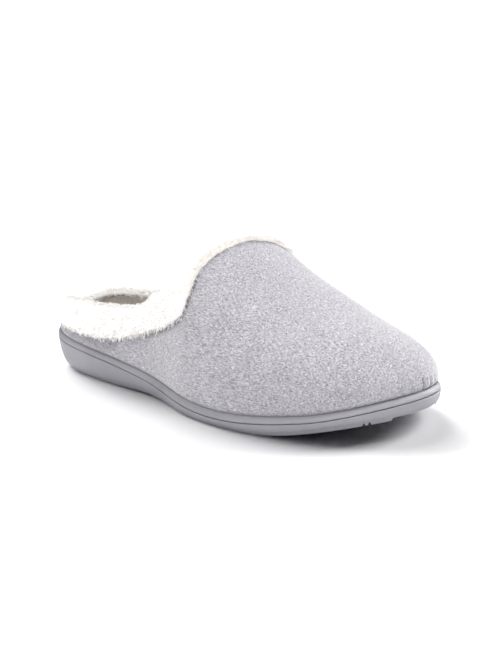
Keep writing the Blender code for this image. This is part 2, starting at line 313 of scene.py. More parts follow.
def add_mesh(
    name: str,
    points: Array,
    faces: list[Array],
    slots: list[int] | None = None,
    marks: dict[str, Array] | None = None,
    sharp: float = 180.0,
) -> bpy.types.Object:
    """Makes a mesh object at the origin, welded where points meet, with its faces outward.

    Args:
        name: name of the piece.
        points: points in millimetres from the heel.
        faces: arrays of corner numbers.
        slots: material slot of each of those arrays, all 0 if it is left out.
        marks: a number for each point, by attribute name.
        sharp: edges that turn by more than this many degrees stay sharp.

    Returns:
        The new object.
    """
    mesh = bpy.data.meshes.new(name)
    corners = [corner for part in faces for corner in part.tolist()]
    mesh.from_pydata(((points.reshape(-1, 3) - LAST.centre) * MM).tolist(), [], corners)
    slot = np.repeat(slots or [0] * len(faces), [len(part) for part in faces])
    mesh.polygons.foreach_set("material_index", slot.astype(np.int32))
    for mark, values in (marks or {}).items():
        layer = mesh.attributes.new(mark, "FLOAT", "POINT")
        layer.data.foreach_set("value", values.reshape(-1).astype(np.float32))
    bm = bmesh.new()
    bm.from_mesh(mesh)
    bmesh.ops.remove_doubles(bm, verts=bm.verts, dist=WELD)
    bmesh.ops.recalc_face_normals(bm, faces=bm.faces)
    bm.to_mesh(mesh)
    bm.free()
    mesh.shade_smooth()
    if sharp < 180.0:
        mesh.set_sharp_from_angle(angle=np.radians(sharp))
    piece = bpy.data.objects.new(name, mesh)
    bpy.context.scene.collection.objects.link(piece)
    return piece


def settle(piece: bpy.types.Object, slot: str, node: str | None = None) -> None:
    """Lets a piece ride on the shoe, and says what it stands for.

    Args:
        piece: the finished piece.
        slot: the record's material slot that its finish comes from.
        node: the CAD node that it replaces, if it replaces one.
    """
    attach(piece, "root")
    if node:
        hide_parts(node)
    LOG.info("%s: %d faces, slot %s", piece.name, len(piece.data.polygons), slot)


def linear(colour: str) -> tuple[float, float, float, float]:
    """Turns an sRGB hex colour into linear red, green, blue and an alpha of one.

    Args:
        colour: a colour such as "#c0ffee".

    Returns:
        Four numbers from 0 to 1.
    """
    code = np.array([int(colour[i : i + 2], 16) for i in (1, 3, 5)]) / 255.0
    light = np.where(code <= 0.04045, code / 12.92, ((code + 0.055) / 1.055) ** 2.4)
    return (*light.tolist(), 1.0)


def per_mm(size: float) -> float:
    """Scale of a pattern, per metre, from its size in millimetres."""
    return 1.0 / (size * MM)


class Recipe:
    """A material in the making: one shader, and the nodes that feed it."""

    def __init__(self, name: str) -> None:
        """Starts the material with its shader and the place on the object.

        Args:
            name: name of the material.
        """
        self.material = bpy.data.materials.new(name)
        self.material.use_nodes = True
        self.tree = self.material.node_tree
        self.where = self.add("TexCoord", take="Object")

    def add(
        self,
        kind: str,
        settings: dict[str | int, object] | None = None,
        links: dict[str | int, bpy.types.NodeSocket] | None = None,
        take: str | int = 0,
    ) -> bpy.types.NodeSocket:
        """Adds a node with its settings and links.

        Args:
            kind: Blender's name for the kind of shader node.
            settings: properties and input values by name or number, and colour stops as "stops".
            links: the socket that feeds each input, by the input's name or number. Nodes that read a
                place get the object's own one if none is given.
            take: name or number of the output that is wanted.

        Returns:
            That output of the new node.
        """
        node = self.tree.nodes.new(f"ShaderNode{kind}")
        for key, value in (settings or {}).items():
            if key == "stops":
                for _ in value[2:]:
                    node.color_ramp.elements.new(0.5)
                for stop, (place, colour) in zip(node.color_ramp.elements, value):
                    stop.position, stop.color = place, linear(colour)
            elif isinstance(key, str) and hasattr(node, key):
                setattr(node, key, value)
            else:
                node.inputs[key].default_value = value
        placed = {"Vector": self.where} if kind in PLACED else {}
        for key, socket in {**placed, **(links or {})}.items():
            self.tree.links.new(socket, node.inputs[key])
        return node.outputs[take]

    def finish(
        self, links: dict[str, bpy.types.NodeSocket], values: dict[str, float]
    ) -> bpy.types.Material:
        """Feeds the shader.

        Args:
            links: the socket that feeds each of the shader's inputs.
            values: numbers that are the same all over the surface, by input.

        Returns:
            The finished material.
        """
        shader = self.tree.nodes["Principled BSDF"]
        for key, socket in links.items():
            self.tree.links.new(socket, shader.inputs[key])
        for key, value in values.items():
            shader.inputs[key].default_value = value
        return self.material


# The last


@dataclass
class Last:
    """Last and sole lines of the shoe, repeated from the CAD model in millimetres.

    A station is a share of the length from the heel, and a climb runs from 0 at the sole to 1 on
    the ridge line along the top of the foot. Two lines follow the photo more closely than the CAD
    model does: the arch is lifted less, and the felt comes further down at the heel.
    """

    length: float = 258.0
    toe_tip: float = 7.5
    seat_gap: float = 0.3
    ridge_start: float = 0.15
    ridge_end: float = 0.80
    plan_points: int = 2400  # points on the finely drawn outline
    nudge: float = 0.004  # step in turn and climb that slopes are read over
    # station, width to the outer side, width to the inner side
    outline: Table = (
        (0.02, 14.0, 13.5), (0.08, 25.5, 25.5), (0.18, 31.0, 29.5), (0.30, 33.0, 29.0),
        (0.42, 35.5, 28.5), (0.54, 44.0, 33.5), (0.66, 47.5, 42.5), (0.78, 43.5, 46.5),
        (0.88, 32.5, 42.5), (0.96, 16.0, 31.0),
    )
    # station, line between outsole and midsole, line between midsole and felt
    heights: Table = (
        (0.00, 18.0, 23.5), (0.25, 13.5, 18.0), (0.45, 7.5, 11.8),
        (0.65, 4.2, 8.6), (0.85, 8.2, 12.4), (1.00, 16.8, 21.0),
    )
    # station, height of the floor side
    bottom: Table = (
        (0.00, 2.5), (0.08, 0.0), (0.25, 0.0), (0.40, 0.6), (0.55, 0.0), (0.74, 0.0), (1.00, 9.5),
    )
    # station, how far the line between midsole and felt is shown below the CAD line
    sunk: Table = ((0.00, 1.3), (0.16, 1.4), (0.30, 0.7), (0.42, 0.1), (0.50, 0.0), (1.00, 0.0))
    # station, ridge height, ridge shift to the inner side, fullness, inset of the felt's foot
    body: Table = (
        (0.00, 80.0, 0.0, 2.30, 2.4), (0.20, 85.0, 1.5, 2.25, 2.0), (0.40, 87.5, 3.0, 2.18, 1.2),
        (0.56, 83.5, 4.5, 2.15, 0.9), (0.70, 65.5, 5.0, 2.15, 0.8), (0.85, 49.0, 7.5, 2.35, 0.7),
        (1.00, 41.0, 7.5, 2.65, 0.7),
    )
    # station, how much further forward a section ends on the inner side
    slant: Table = ((0.00, 0.0), (0.30, 0.0), (0.60, 0.09), (1.00, 0.0))

    def __post_init__(self) -> None:
        """Draws the plan outline and splits it into an outer and an inner side."""
        outer = [(s * self.length, -a) for s, a, b in self.outline]
        inner = [(s * self.length, b) for s, a, b in reversed(self.outline)]
        tip = [(self.length, self.toe_tip)]
        p = closed_curve(np.array([(0.0, 0.0)] + outer + tip + inner), self.plan_points)
        p = np.roll(p, -int(np.argmin(p[:, 0])), axis=0)
        along = span(p)
        normal = unit(np.stack([along[:, 1], -along[:, 0]], axis=1))
        if np.sum(normal * (p - p.mean(axis=0))) < 0.0:
            normal = -normal
        toe = int(np.argmax(p[:, 0]))
        self.first, self.end = p[0, 0], p[toe, 0]
        middle = (p[:, 1].min() + p[:, 1].max()) / 2.0
        self.centre = np.array([(self.first + self.end) / 2.0, middle, 0.0])
        ids = (np.arange(0, toe + 1), np.r_[0, np.arange(len(p) - 1, toe - 1, -1)])
        self.edges = [(p[i], normal[i]) for i in ids]

    def plan(self, station: Array, inset: Array, side: Side) -> Array:
        """Plan points of the outline, moved inward along its normal.

        Args:
            station: stations of the points.
            inset: how far each is moved inward.
            side: side of the outline.

        Returns:
            Plan points along the last axis.
        """
        p, normal = self.edges[side.value]
        x = self.first + (self.end - self.first) * np.asarray(station, float)
        index = np.arange(len(p))
        place = np.interp(x, p[:, 0], index)
        q = np.stack([np.interp(place, index, p[:, k]) for k in range(2)], axis=-1)
        m = np.stack([np.interp(place, index, normal[:, k]) for k in range(2)], axis=-1)
        return q - unit(m) * np.asarray(inset, float)[..., None]

    def ring(self, station: Array, inset: Array | float) -> Array:
        """Closed ring of plan points: outer side from heel to toe, then inner side back.

        Args:
            station: stations from 0 to 1.
            inset: how far the ring lies inside the outline, at each station or all round.

        Returns:
            Plan points as rows.
        """
        inset = np.broadcast_to(np.asarray(inset, float), np.shape(station))
        outer = self.plan(station, inset, Side.OUTER)
        inner = self.plan(station, inset, Side.INNER)
        return both_sides(outer, inner)

    def groove_z(self, x: Array) -> Array:
        """Height of the fine line between outsole and midsole."""
        return through(self.heights, 1, x / self.length)

    def felt_z(self, x: Array) -> Array:
        """Height of the line between midsole and felt."""
        return through(self.heights, 2, x / self.length)

    def sink(self, x: Array) -> Array:
        """How far the line between midsole and felt is shown below the CAD line."""
        return through(self.sunk, 1, x / self.length)

    def bottom_z(self, x: Array) -> Array:
        """Height of the floor side: flat heel, lifted arch, flat ball, sprung toe."""
        return through(self.bottom, 1, x / self.length)

    def point(self, station: Array, climb: Array, side: Side) -> Array:
        """Point on the last: from the foot line to the ridge line on a superellipse.

        The share across is the cosine, and the share up the sine, of the climb's quarter turn,
        each to the power of two over the fullness.

        Args:
            station: stations.
            climb: climbs from 0 to 1.
            side: side of the last.

        Returns:
            Points along the last axis.
        """
        station = np.asarray(station, float)
        angle = np.clip(np.asarray(climb, float), 0.0, 1.0) * np.pi / 2.0
        foot_s = station + side.value * through(self.slant, 1, station)
        foot = self.plan(foot_s, through(self.body, 4, foot_s), side)
        ridge_s = self.ridge_start + station * (self.ridge_end - self.ridge_start)
        ridge = np.stack([ridge_s * self.length, through(self.body, 2, ridge_s)], axis=-1)
        power = 2.0 / through(self.body, 3, station)
        across, up = np.cos(angle) ** power, np.sin(angle) ** power
        plan = ridge + (foot - ridge) * across[..., None]
        base = self.felt_z(foot[..., 0]) + self.seat_gap
        z = base + (through(self.body, 1, plan[..., 0] / self.length) - base) * up
        return np.concatenate([plan, z[..., None]], axis=-1)

    def read(self, turn: Array, climb: Array, side: Side) -> Array:
        """Point on the last where turn or climb may run past heel, toe or ridge.

        Args:
            turn: turns, see station_of. Below 0 or above 1 is on the other side.
            climb: climbs. Above 1 is on the other side.
            side: side of the last.

        Returns:
            Points along the last axis.
        """
        over = (turn < 0.0) ^ (turn > 1.0) ^ (climb > 1.0)
        station = station_of(turn)
        climb = np.where(climb > 1.0, 2.0 - climb, climb)
        here = self.point(station, climb, side)
        there = self.point(station, climb, Side(1 - side.value))
        return np.where(over[..., None], there, here)

    def lifted(self, station: Array, climb: Array, side: Side, off: Array) -> Array:
        """Point on the last, moved outward along the normal: the cross product of two slopes.

        Args:
            station: stations.
            climb: climbs from 0 to 1.
            side: side of the last.
            off: how far the points are moved, in millimetres.

        Returns:
            Points along the last axis.
        """
        turn, climb = np.broadcast_arrays(turn_of(station), np.asarray(climb, float))
        along = self.read(turn + self.nudge, climb, side) - self.read(turn - self.nudge, climb, side)
        below = np.maximum(climb - self.nudge, 0.0)
        up = self.read(turn, climb + self.nudge, side) - self.read(turn, below, side)
        normal = unit(np.cross(along, up)) * (1.0 - 2.0 * side.value)
        return self.read(turn, climb, side) + normal * np.asarray(off)[..., None]


LAST = Last()


@dataclass
class CuffLine:
    """Where the cuff lies on the last, from the heel to the throat, repeated from the CAD model."""

    over_edge: float = 2.6  # how far the rim stands above the felt's edge
    gap: float = 0.6  # between felt and fleece
    wall: float = 3.0  # thickness of felt and lining
    least_climb: float = 0.004
    corner_row: float = 9.0  # row of the table at the corner of the throat
    corner_width: float = 0.9  # rows
    corner_rise: float = 0.20  # share of the cuff's depth
    # station of the felt wall's foot, station and climb of the cuff's lower edge, station and
    # climb of its rim, thickness of the fleece outside and inside
    table: Table = (
        (0.000, 0.000, 0.028, 0.000, 0.088, 2.4, 3.6), (0.020, 0.020, 0.026, 0.020, 0.094, 2.4, 3.6),
        (0.080, 0.080, 0.026, 0.080, 0.112, 2.6, 3.6), (0.160, 0.160, 0.030, 0.160, 0.148, 3.0, 3.6),
        (0.235, 0.235, 0.040, 0.232, 0.195, 3.4, 3.6), (0.300, 0.305, 0.072, 0.300, 0.240, 3.4, 3.6),
        (0.365, 0.370, 0.126, 0.370, 0.290, 3.4, 3.6), (0.425, 0.440, 0.190, 0.440, 0.362, 3.4, 3.6),
        (0.475, 0.505, 0.258, 0.495, 0.445, 3.4, 3.5), (0.510, 0.548, 0.335, 0.525, 0.520, 3.2, 3.3),
        (0.540, 0.560, 0.430, 0.540, 0.582, 2.9, 3.0), (0.568, 0.568, 0.525, 0.547, 0.640, 2.5, 2.7),
        (0.595, 0.582, 0.620, 0.558, 0.702, 2.2, 2.5), (0.620, 0.602, 0.715, 0.577, 0.776, 2.0, 2.4),
        (0.642, 0.626, 0.810, 0.600, 0.850, 2.0, 2.4), (0.662, 0.652, 0.905, 0.624, 0.925, 2.0, 2.4),
        (0.680, 0.682, 1.000, 0.650, 1.000, 2.0, 2.4),
    )

    def places(self, count: int) -> Array:
        """Even places from the heel to the throat in count steps, counted in rows of the table."""
        return np.linspace(0.0, len(self.table) - 1.0, count + 1)

    def rows(self, count: int) -> Array:
        """The table read at even places from the heel to the throat.

        Args:
            count: number of steps.

        Returns:
            count + 1 rows with the table's columns.
        """
        data = np.array(self.table)
        data[:, (0, 1, 3)] = turn_of(data[:, (0, 1, 3)])
        numbered = np.column_stack([np.arange(len(data)), data])
        columns = range(1, numbered.shape[1])
        rows = np.stack([through(numbered, k, self.places(count)) for k in columns], axis=1)
        rows[:, (0, 1, 3)] = station_of(rows[:, (0, 1, 3)])
        return rows

    def hem(self, count: int, side: Side) -> Array:
        """How far the hem is drawn up at the throat's corner, in a bell, which rounds the inner side.

        Args:
            count: number of steps from the heel to the throat.
            side: side of the last.

        Returns:
            A share of the cuff's depth for each of the count + 1 rows.
        """
        away = self.places(count) - self.corner_row
        return side.value * self.corner_rise * bell(away, self.corner_width)

    def share(self, rows: Array, side: Side, back: Array | float) -> Array:
        """How far up from the cuff's lower edge a line lies that is back mm short of the rim.

        Args:
            rows: rows of the table.
            side: side of the last.
            back: distance from the rim.

        Returns:
            A share for each row, 0 at the lower edge and 1 at the rim.
        """
        low = LAST.point(rows[:, 1], rows[:, 2], side)
        rim = LAST.point(rows[:, 3], rows[:, 4], side)
        return 1.0 - back / np.linalg.norm(rim - low, axis=1)

    def place(self, rows: Array, share: Array) -> tuple[Array, Array]:
        """Station and climb at a share of the way from the lower edge to the rim.

        Args:
            rows: rows of the table.
            share: shares, one row for each row of the table.

        Returns:
            The stations and the climbs.
        """
        r = rows.reshape(*rows.shape, *[1] * (share.ndim - 1))
        station = r[:, 1] + (r[:, 3] - r[:, 1]) * share
        climb = r[:, 2] + (r[:, 4] - r[:, 2]) * share
        return np.clip(station, 0.0, 1.0), np.clip(climb, self.least_climb, 1.0)


# Finishes


@dataclass(frozen=True)
class WoolFelt:
    """Pressed wool felt, carded from light and dark grey fibres.

    It gives the eye a soft mottled grey with no gloss, fine specks and short streaks of fibre, and
    a pale bloom where the nap is seen edge on.
    """

    name: str = "pressed_wool_felt"
    dark: str = "#7a787e"
    middle: str = "#b0aeb4"
    pale: str = "#dcdae0"
    fold: str = "#4a484d"  # painted shade: the dark grey painted into creases, the toe dart, under the cuff's hem and at the felt's foot
    speck: float = 0.9  # mm, a tuft of fibres; a single fibre is finer than a pixel
    streak: float = 2.6  # mm, visible length of a fibre bundle
    hair: float = 0.504  # mm, its thickness
    cloud: float = 14.0  # mm, uneven carding
    nap: float = 0.25  # mm, height of the specks
    # turns of the fibre bundles about X, Y and Z, in radians
    lay: Table = ((0.5, 0.3, 0.9), (1.1, 2.0, 0.2), (2.3, 0.8, 1.9))

    def make(self) -> bpy.types.Material:
        """Mixes specks, streaks and clouds into one grey, darkens it by the painted shade mark, and presses
        the same specks as bump.

        Returns:
            The material.
        """
        felt = Recipe(self.name)
        speck = {"Scale": per_mm(self.speck), "Detail": 2.0, "Roughness": 0.62}
        grain = felt.add("TexNoise", speck)
        thin = per_mm(self.hair)
        for turn in self.lay:
            bundle = {"Rotation": turn, "Scale": (per_mm(self.streak), thin, thin)}
            laid = felt.add("Mapping", bundle)
            hair = felt.add("TexNoise", {"Scale": 1.0, "Detail": 1.0}, {"Vector": laid})
            grain = felt.add("Mix", {0: 0.30}, {2: grain, 3: hair})
        cloud = felt.add("TexNoise", {"Scale": per_mm(self.cloud), "Detail": 3.0})
        tone = felt.add("Mix", {0: 0.05}, {2: grain, 3: cloud})
        stops = ((0.36, self.dark), (0.50, self.middle), (0.64, self.pale))
        colour = felt.add("ValToRGB", {"stops": stops}, {"Fac": tone})
        # painted shade: darkens the felt by the mesh's painted shade mark
        shade_amount = felt.add("Attribute", {"attribute_name": "fold"}, take="Fac")
        dark = {"data_type": "RGBA", 7: linear(self.fold)}
        colour = felt.add("Mix", dark, {0: shade_amount, 6: colour}, take=2)
        bump = felt.add("Bump", {"Strength": 0.5, "Distance": self.nap * MM}, {"Height": grain})
        return felt.finish(
            {"Base Color": colour, "Normal": bump},
            {
                "Roughness": 0.95, "Specular IOR Level": 0.15,
                "Sheen Weight": 0.5, "Sheen Roughness": 0.45,
            },
        )


@dataclass(frozen=True)
class CurlyFleece:
    """Knitted wool fleece with a short curly pile.

    It gives the eye a bright warm white, with painted shade, creamy and a little pink, down between the
    curls and on the short pile at the throat, and soft edges that catch the light.
    """

    name: str = "curly_wool_fleece"
    # painted shade: the creamy pink root colour stands for the shade down in the pile
    root: str = "#e6dcd2"
    tip: str = "#fdfbf9"
    clump: float = 3.0  # mm, one curl
    wisp: float = 0.5  # mm, a few fibres; a single one is finer than a pixel
    fluff: float = 0.2  # mm, height of the wisps

    def make(self) -> bpy.types.Material:
        """Runs from the root colour to the tip colour by the pile mark, which paints shade down in the pile,
        with a little mottling.

        Returns:
            The material.
        """
        fleece = Recipe(self.name)
        # painted shade: the pile mark darkens the fleece to its root colour in the hollows and roots of the
        # pile
        pile = fleece.add("Attribute", {"attribute_name": "pile"}, take="Fac")
        clump = fleece.add("TexNoise", {"Scale": per_mm(self.clump), "Detail": 3.0})
        height = fleece.add("Math", {"operation": "MULTIPLY_ADD", 1: 0.5}, {0: clump, 2: pile})
        stops = ((0.15, self.root), (0.85, self.tip))
        colour = fleece.add("ValToRGB", {"stops": stops}, {"Fac": height})
        fine = fleece.add("TexNoise", {"Scale": per_mm(self.wisp), "Detail": 2.0})
        bump = fleece.add("Bump", {"Strength": 0.4, "Distance": self.fluff * MM}, {"Height": fine})
        return fleece.finish(
            {"Base Color": colour, "Normal": bump},
            {
                "Roughness": 0.9, "Specular IOR Level": 0.2,
                "Sheen Weight": 0.35, "Sheen Roughness": 0.5,
            },
        )


@dataclass(frozen=True)
class MouldedRubber:
    """Moulded thermoplastic rubber, straight from a fine spark-eroded mould.

    It gives the eye a cool even grey with a broad dull shine, a very fine grain and faint patches.
    """

    name: str = "moulded_grey_rubber"
    base: str = "#aaa9b0"
    shade: str = "#a09fa6"
    grain: float = 0.45  # mm, coarser than the mould's own 0.1 mm so that it shows
    pit: float = 0.06  # mm, depth of the grain
    patch: float = 22.0  # mm, handling and flow marks
    rough: float = 0.52

    def make(self) -> bpy.types.Material:
        """Tints the grey by large soft patches, and roughens it by the mould's grain.

        Returns:
            The material.
        """
        rubber = Recipe(self.name)
        patch = rubber.add("TexNoise", {"Scale": per_mm(self.patch), "Detail": 3.0})
        stops = ((0.35, self.shade), (0.65, self.base))
        colour = rubber.add("ValToRGB", {"stops": stops}, {"Fac": patch})
        grain = rubber.add("TexNoise", {"Scale": per_mm(self.grain), "Detail": 2.0})
        dull = {"To Min": self.rough - 0.08, "To Max": self.rough + 0.10}
        rough = rubber.add("MapRange", dull, {"Value": patch})
        bump = rubber.add("Bump", {"Strength": 0.18, "Distance": self.pit * MM}, {"Height": grain})
        return rubber.finish({"Base Color": colour, "Roughness": rough, "Normal": bump}, {"IOR": 1.52})


@dataclass(frozen=True)
class WovenCloth:
    """Plain woven cloth, brushed on top.

    It gives the eye a grey-beige surface of crossing threads, darker in the gaps, with no shine.
    """

    name: str = "woven_footbed_cloth"
    thread: str = "#b3ada4"
    gap: str = "#7f7a72"
    pitch: float = 1.1  # mm between threads, drawn coarser than the real 0.5 mm so that it shows
    nap: float = 0.7  # mm, tufts of the brushed top
    rise: float = 0.25  # mm, height of a thread
    waves: float = 0.314  # length of one of Blender's bands at a scale of one

    def make(self) -> bpy.types.Material:
        """Crosses two rows of threads, as the product of two waves, and lets nap break them up.

        Returns:
            The material.
        """
        cloth = Recipe(self.name)
        nap = cloth.add("TexNoise", {"Scale": per_mm(self.nap), "Detail": 3.0})
        wave = {
            "Scale": self.waves * per_mm(self.pitch), "Distortion": 1.2, "Detail": 1.0, "Detail Scale": 0.6,
        }
        warp, weft = (
            cloth.add("TexWave", {"bands_direction": axis, **wave}, take="Fac")
            for axis in "XY"
        )
        weave = cloth.add("Math", {"operation": "MULTIPLY"}, {0: warp, 1: weft})
        height = cloth.add("Mix", {0: 0.45}, {2: weave, 3: nap})
        stops = ((0.12, self.gap), (0.55, self.thread))
        colour = cloth.add("ValToRGB", {"stops": stops}, {"Fac": height})
        bump = cloth.add("Bump", {"Strength": 0.5, "Distance": self.rise * MM}, {"Height": height})
        return cloth.finish(
            {"Base Color": colour, "Normal": bump},
            {"Roughness": 0.92, "Specular IOR Level": 0.2, "Sheen Weight": 0.15},
        )


@dataclass(frozen=True)
class PaintedFloor:
    """Matt white painted board, which gives the eye a plain pale ground with a faint unevenness."""

    name: str = "matt_white_floor"
    light: str = "#fafafb"
    dull: str = "#f4f4f6"
    patch: float = 180.0  # mm, roller marks

    def make(self) -> bpy.types.Material:
        """Tints the white by large faint patches.

        Returns:
            The material.
        """
        floor = Recipe(self.name)
        patch = floor.add("TexNoise", {"Scale": per_mm(self.patch)})
        stops = ((0.3, self.dull), (0.7, self.light))
        colour = floor.add("ValToRGB", {"stops": stops}, {"Fac": patch})
        return floor.finish({"Base Color": colour}, {"Roughness": 0.9, "Specular IOR Level": 0.1})


BAND_RUBBER = MouldedRubber("moulded_grey_band", "#aeadb4", "#a6a5ac", rough=0.58)
LINING = WovenCloth("brushed_lining_cloth", "#dcd7ce", "#cec9c1", 0.9)


# The shoe


@dataclass(frozen=True)
class Crease:
    """Soft trough pressed into the felt along a path on the last, or a ridge if depth is negative."""

    side: Side
    path: Table  # station and climb of each point
    width: float
    depth: float
    shade: float = 0.0  # painted shade: how much darker the felt is painted in the trough

    def press(self, points: Array) -> Array:
        """Share of the trough's depth: exp(-(distance to the path / width)²).

        Args:
            points: places on the felt, in millimetres.

        Returns:
            Numbers from 0 to 1.
        """
        station, climb = np.array(self.path).T
        line = LAST.point(station, climb, self.side)
        near = np.full(points.shape[:-1], np.inf)
        for start, end in zip(line[:-1], line[1:]):
            leg = end - start
            t = np.clip((points - start) @ leg / (leg @ leg), 0.0, 1.0)
            near = np.minimum(near, np.sum((points - start - t[..., None] * leg) ** 2, axis=-1))
        return np.exp(-near / self.width**2)


@dataclass
class FeltUpper:
    """The felt shell over the last, from the sole to the cuff and over the vamp, with its lining."""

    line: CuffLine
    collar_columns: int = 110
    vamp_columns: int = 150
    row_count: int = 60
    row_spread: tuple[float, float] = (0.7, 0.3)  # even and growing share of the rows' spacing
    tuck: float = 0.9  # how far the felt's foot is drawn in
    tuck_height: float = 0.9
    tuck_shade: float = 0.5  # painted shade: how much darker the felt is painted in the crevice where it meets the band
    flush: float = 1.0  # inset of the felt's foot where it sits flush on the band
    foot_drop: float = 0.9  # how far the felt's foot comes down over the band's upper edge
    foot_fade: float = 3.0  # height over which both fade out
    creases: tuple[Crease, ...] = (
        # the hollow below the corner of the throat, on both sides
        Crease(Side.OUTER, ((0.62, 0.56), (0.647, 0.47), (0.685, 0.363), (0.712, 0.228)), 9.0, 0.8),
        Crease(Side.INNER, ((0.60, 0.54), (0.63, 0.42), (0.66, 0.28)), 10.0, 0.7),
        # the dart at the tip of the toe, a ridge on its inner side, and gathers left and right; a fifth
        # number is painted shade in the trough
        Crease(Side.OUTER, ((1.0, 0.0), (1.0, 0.016)), 0.60, 1.3, 0.85),
        Crease(Side.OUTER, ((1.0, 0.040), (1.0, 0.092)), 0.50, 1.1, 0.70),
        Crease(Side.INNER, ((0.9991, 0.02), (0.9990, 0.09)), 0.9, -0.45),
        Crease(Side.INNER, ((0.9965, 0.0), (0.9962, 0.08)), 0.8, 0.6, 0.3),
        Crease(Side.OUTER, ((0.9962, 0.0), (0.9958, 0.07)), 1.0, 0.45, 0.15),
        Crease(Side.OUTER, ((0.9890, 0.0), (0.9885, 0.06)), 1.2, 0.40, 0.12),
        Crease(Side.OUTER, ((0.9760, 0.0), (0.9750, 0.05)), 1.5, 0.30),
        Crease(Side.INNER, ((0.9890, 0.0), (0.9885, 0.06)), 1.2, 0.40, 0.12),
        Crease(Side.INNER, ((0.9760, 0.0), (0.9750, 0.05)), 1.5, 0.30),
    )
    # height, length and seed of the felt's soft waves
    waves: tuple[tuple[float, float, int], ...] = ((0.16, 34.0, 11), (0.05, 12.0, 12), (0.04, 4.0, 13))
    hem_steps: int = 64  # from the heel to the throat
    # the line that the cuff's hem presses into the felt, with painted shade along it, and a wide painted
    # shadow below the heel's fleece: start and end in those steps, width, depth and painted shade
    hems: tuple[tuple[int, int, float, float, float], ...] = (
        (0, 19, 4.5, 0.1, 0.34), (18, 44, 1.2, 0.6, 0.60), (43, 64, 0.7, 0.2, 0.14),
    )

    def __post_init__(self) -> None:
        """Adds the line that the cuff's hem presses into the felt, on both sides."""
        rows = self.line.rows(self.hem_steps)
        for side in Side:
            path = tuple(zip(*self.line.place(rows, self.line.hem(self.hem_steps, side))))
            pressed = [Crease(side, path[start : end + 1], *press) for start, end, *press in self.hems]
            self.creases = (*self.creases, *pressed)

    def grid(self, side: Side) -> tuple[Array, Array]:
        """Stations and climbs of the felt's grid: straight up from its foot to its top edge.

        Args:
            side: side of the shoe.

        Returns:
            Stations and climbs, with rows from the foot up and columns from heel to toe.
        """
        rows = self.line.rows(self.collar_columns)
        share = np.clip(self.line.share(rows, side, self.line.over_edge), 0.0, 1.0)
        edge, edge_climb = self.line.place(rows, share)
        vamp = np.linspace(0.0, 1.0, self.vamp_columns + 1)[1:]
        ends = [turn_of(rows[-1, 0]), turn_of(edge[-1])]
        foot, top = (station_of(t + (1.0 - t) * vamp) for t in ends)
        foot, top = np.concatenate([rows[:, 0], foot]), np.concatenate([edge, top])
        climb = np.concatenate([edge_climb, np.ones(self.vamp_columns)])
        up = np.linspace(0.0, 1.0, self.row_count + 1)[:, None]
        up = up * (self.row_spread[0] + self.row_spread[1] * up)
        return foot + (top - foot) * up, climb * up

    def relief(self, points: Array) -> Array:
        """How far the felt stands out from the last: waves less creases, tucked in at the foot.

        Args:
            points: the last's points under the grid, with rows from the foot up.

        Returns:
            Millimetres outward.
        """
        out = sum(height * swell(points, length, seed) for height, length, seed in self.waves)
        for crease in self.creases:
            out -= crease.depth * crease.press(points)
        height = points[..., 2] - points[:1, :, 2]
        inset = through(LAST.body, 4, points[:1, :, 0] / LAST.length)
        flare = np.maximum(inset - self.flush, 0.0) * bell(height, self.foot_fade)
        return out + flare - self.tuck * bell(height, self.tuck_height)

    def build(self) -> bpy.types.Object:
        """Makes the shell: felt outside, lining a wall's thickness inside, and rims between.

        Returns:
            The piece, with slot 0 for the felt and slot 1 for the lining.
        """
        skins, shade_marks = [], []
        for inward in (0.0, self.line.wall):
            halves, shades = [], []
            for side in Side:
                station, climb = self.grid(side)
                points = LAST.point(station, climb, side)
                off = -np.full(points.shape[:-1], inward) if inward else self.relief(points)
                half = LAST.lifted(station, climb, side, off)
                height = points[..., 2] - points[:1, :, 2]
                drop = self.foot_drop + LAST.sink(points[:1, :, 0])
                half[..., 2] -= drop * bell(height, self.foot_fade)
                halves.append(half)
                # painted shade: darker felt in the troughs, under the cuff's hem and in the crevice at the
                # felt's foot
                shade = np.max([c.shade * c.press(points) for c in self.creases], axis=0)
                shades.append(np.maximum(shade, self.tuck_shade * bell(height, self.tuck_height)))
            skins.append(both_sides(*halves, axis=1))
            shade_marks.append(both_sides(*shades, axis=1))
        rows, columns = skins[0].shape[:2]
        skin = quads(rows, columns, close_columns=True)
        c = np.arange(columns)
        c2 = (c + 1) % columns
        inner, top = rows * columns, (rows - 1) * columns
        rim = np.stack([c, c2, c2 + inner, c + inner], axis=1)
        collar = (c < self.collar_columns) | (c >= columns - self.collar_columns)
        faces = [skin, skin[:, ::-1] + inner, rim, (rim + top)[collar]]
        marks = {"fold": np.stack(shade_marks)}
        return add_mesh("felt_upper", np.stack(skins), faces, slots=[0, 1, 0, 0], marks=marks)

    def dress(self, piece: bpy.types.Object, felt: WoolFelt, lining: WovenCloth) -> None:
        """Gives the felt and the lining their materials, and settles the piece.

        Args:
            piece: the felt shell.
            felt: finish of its outside.
            lining: finish of its inside.
        """
        piece.data.materials.append(felt.make())
        piece.data.materials.append(lining.make())
        settle(piece, "grey_wool_felt", "upper")


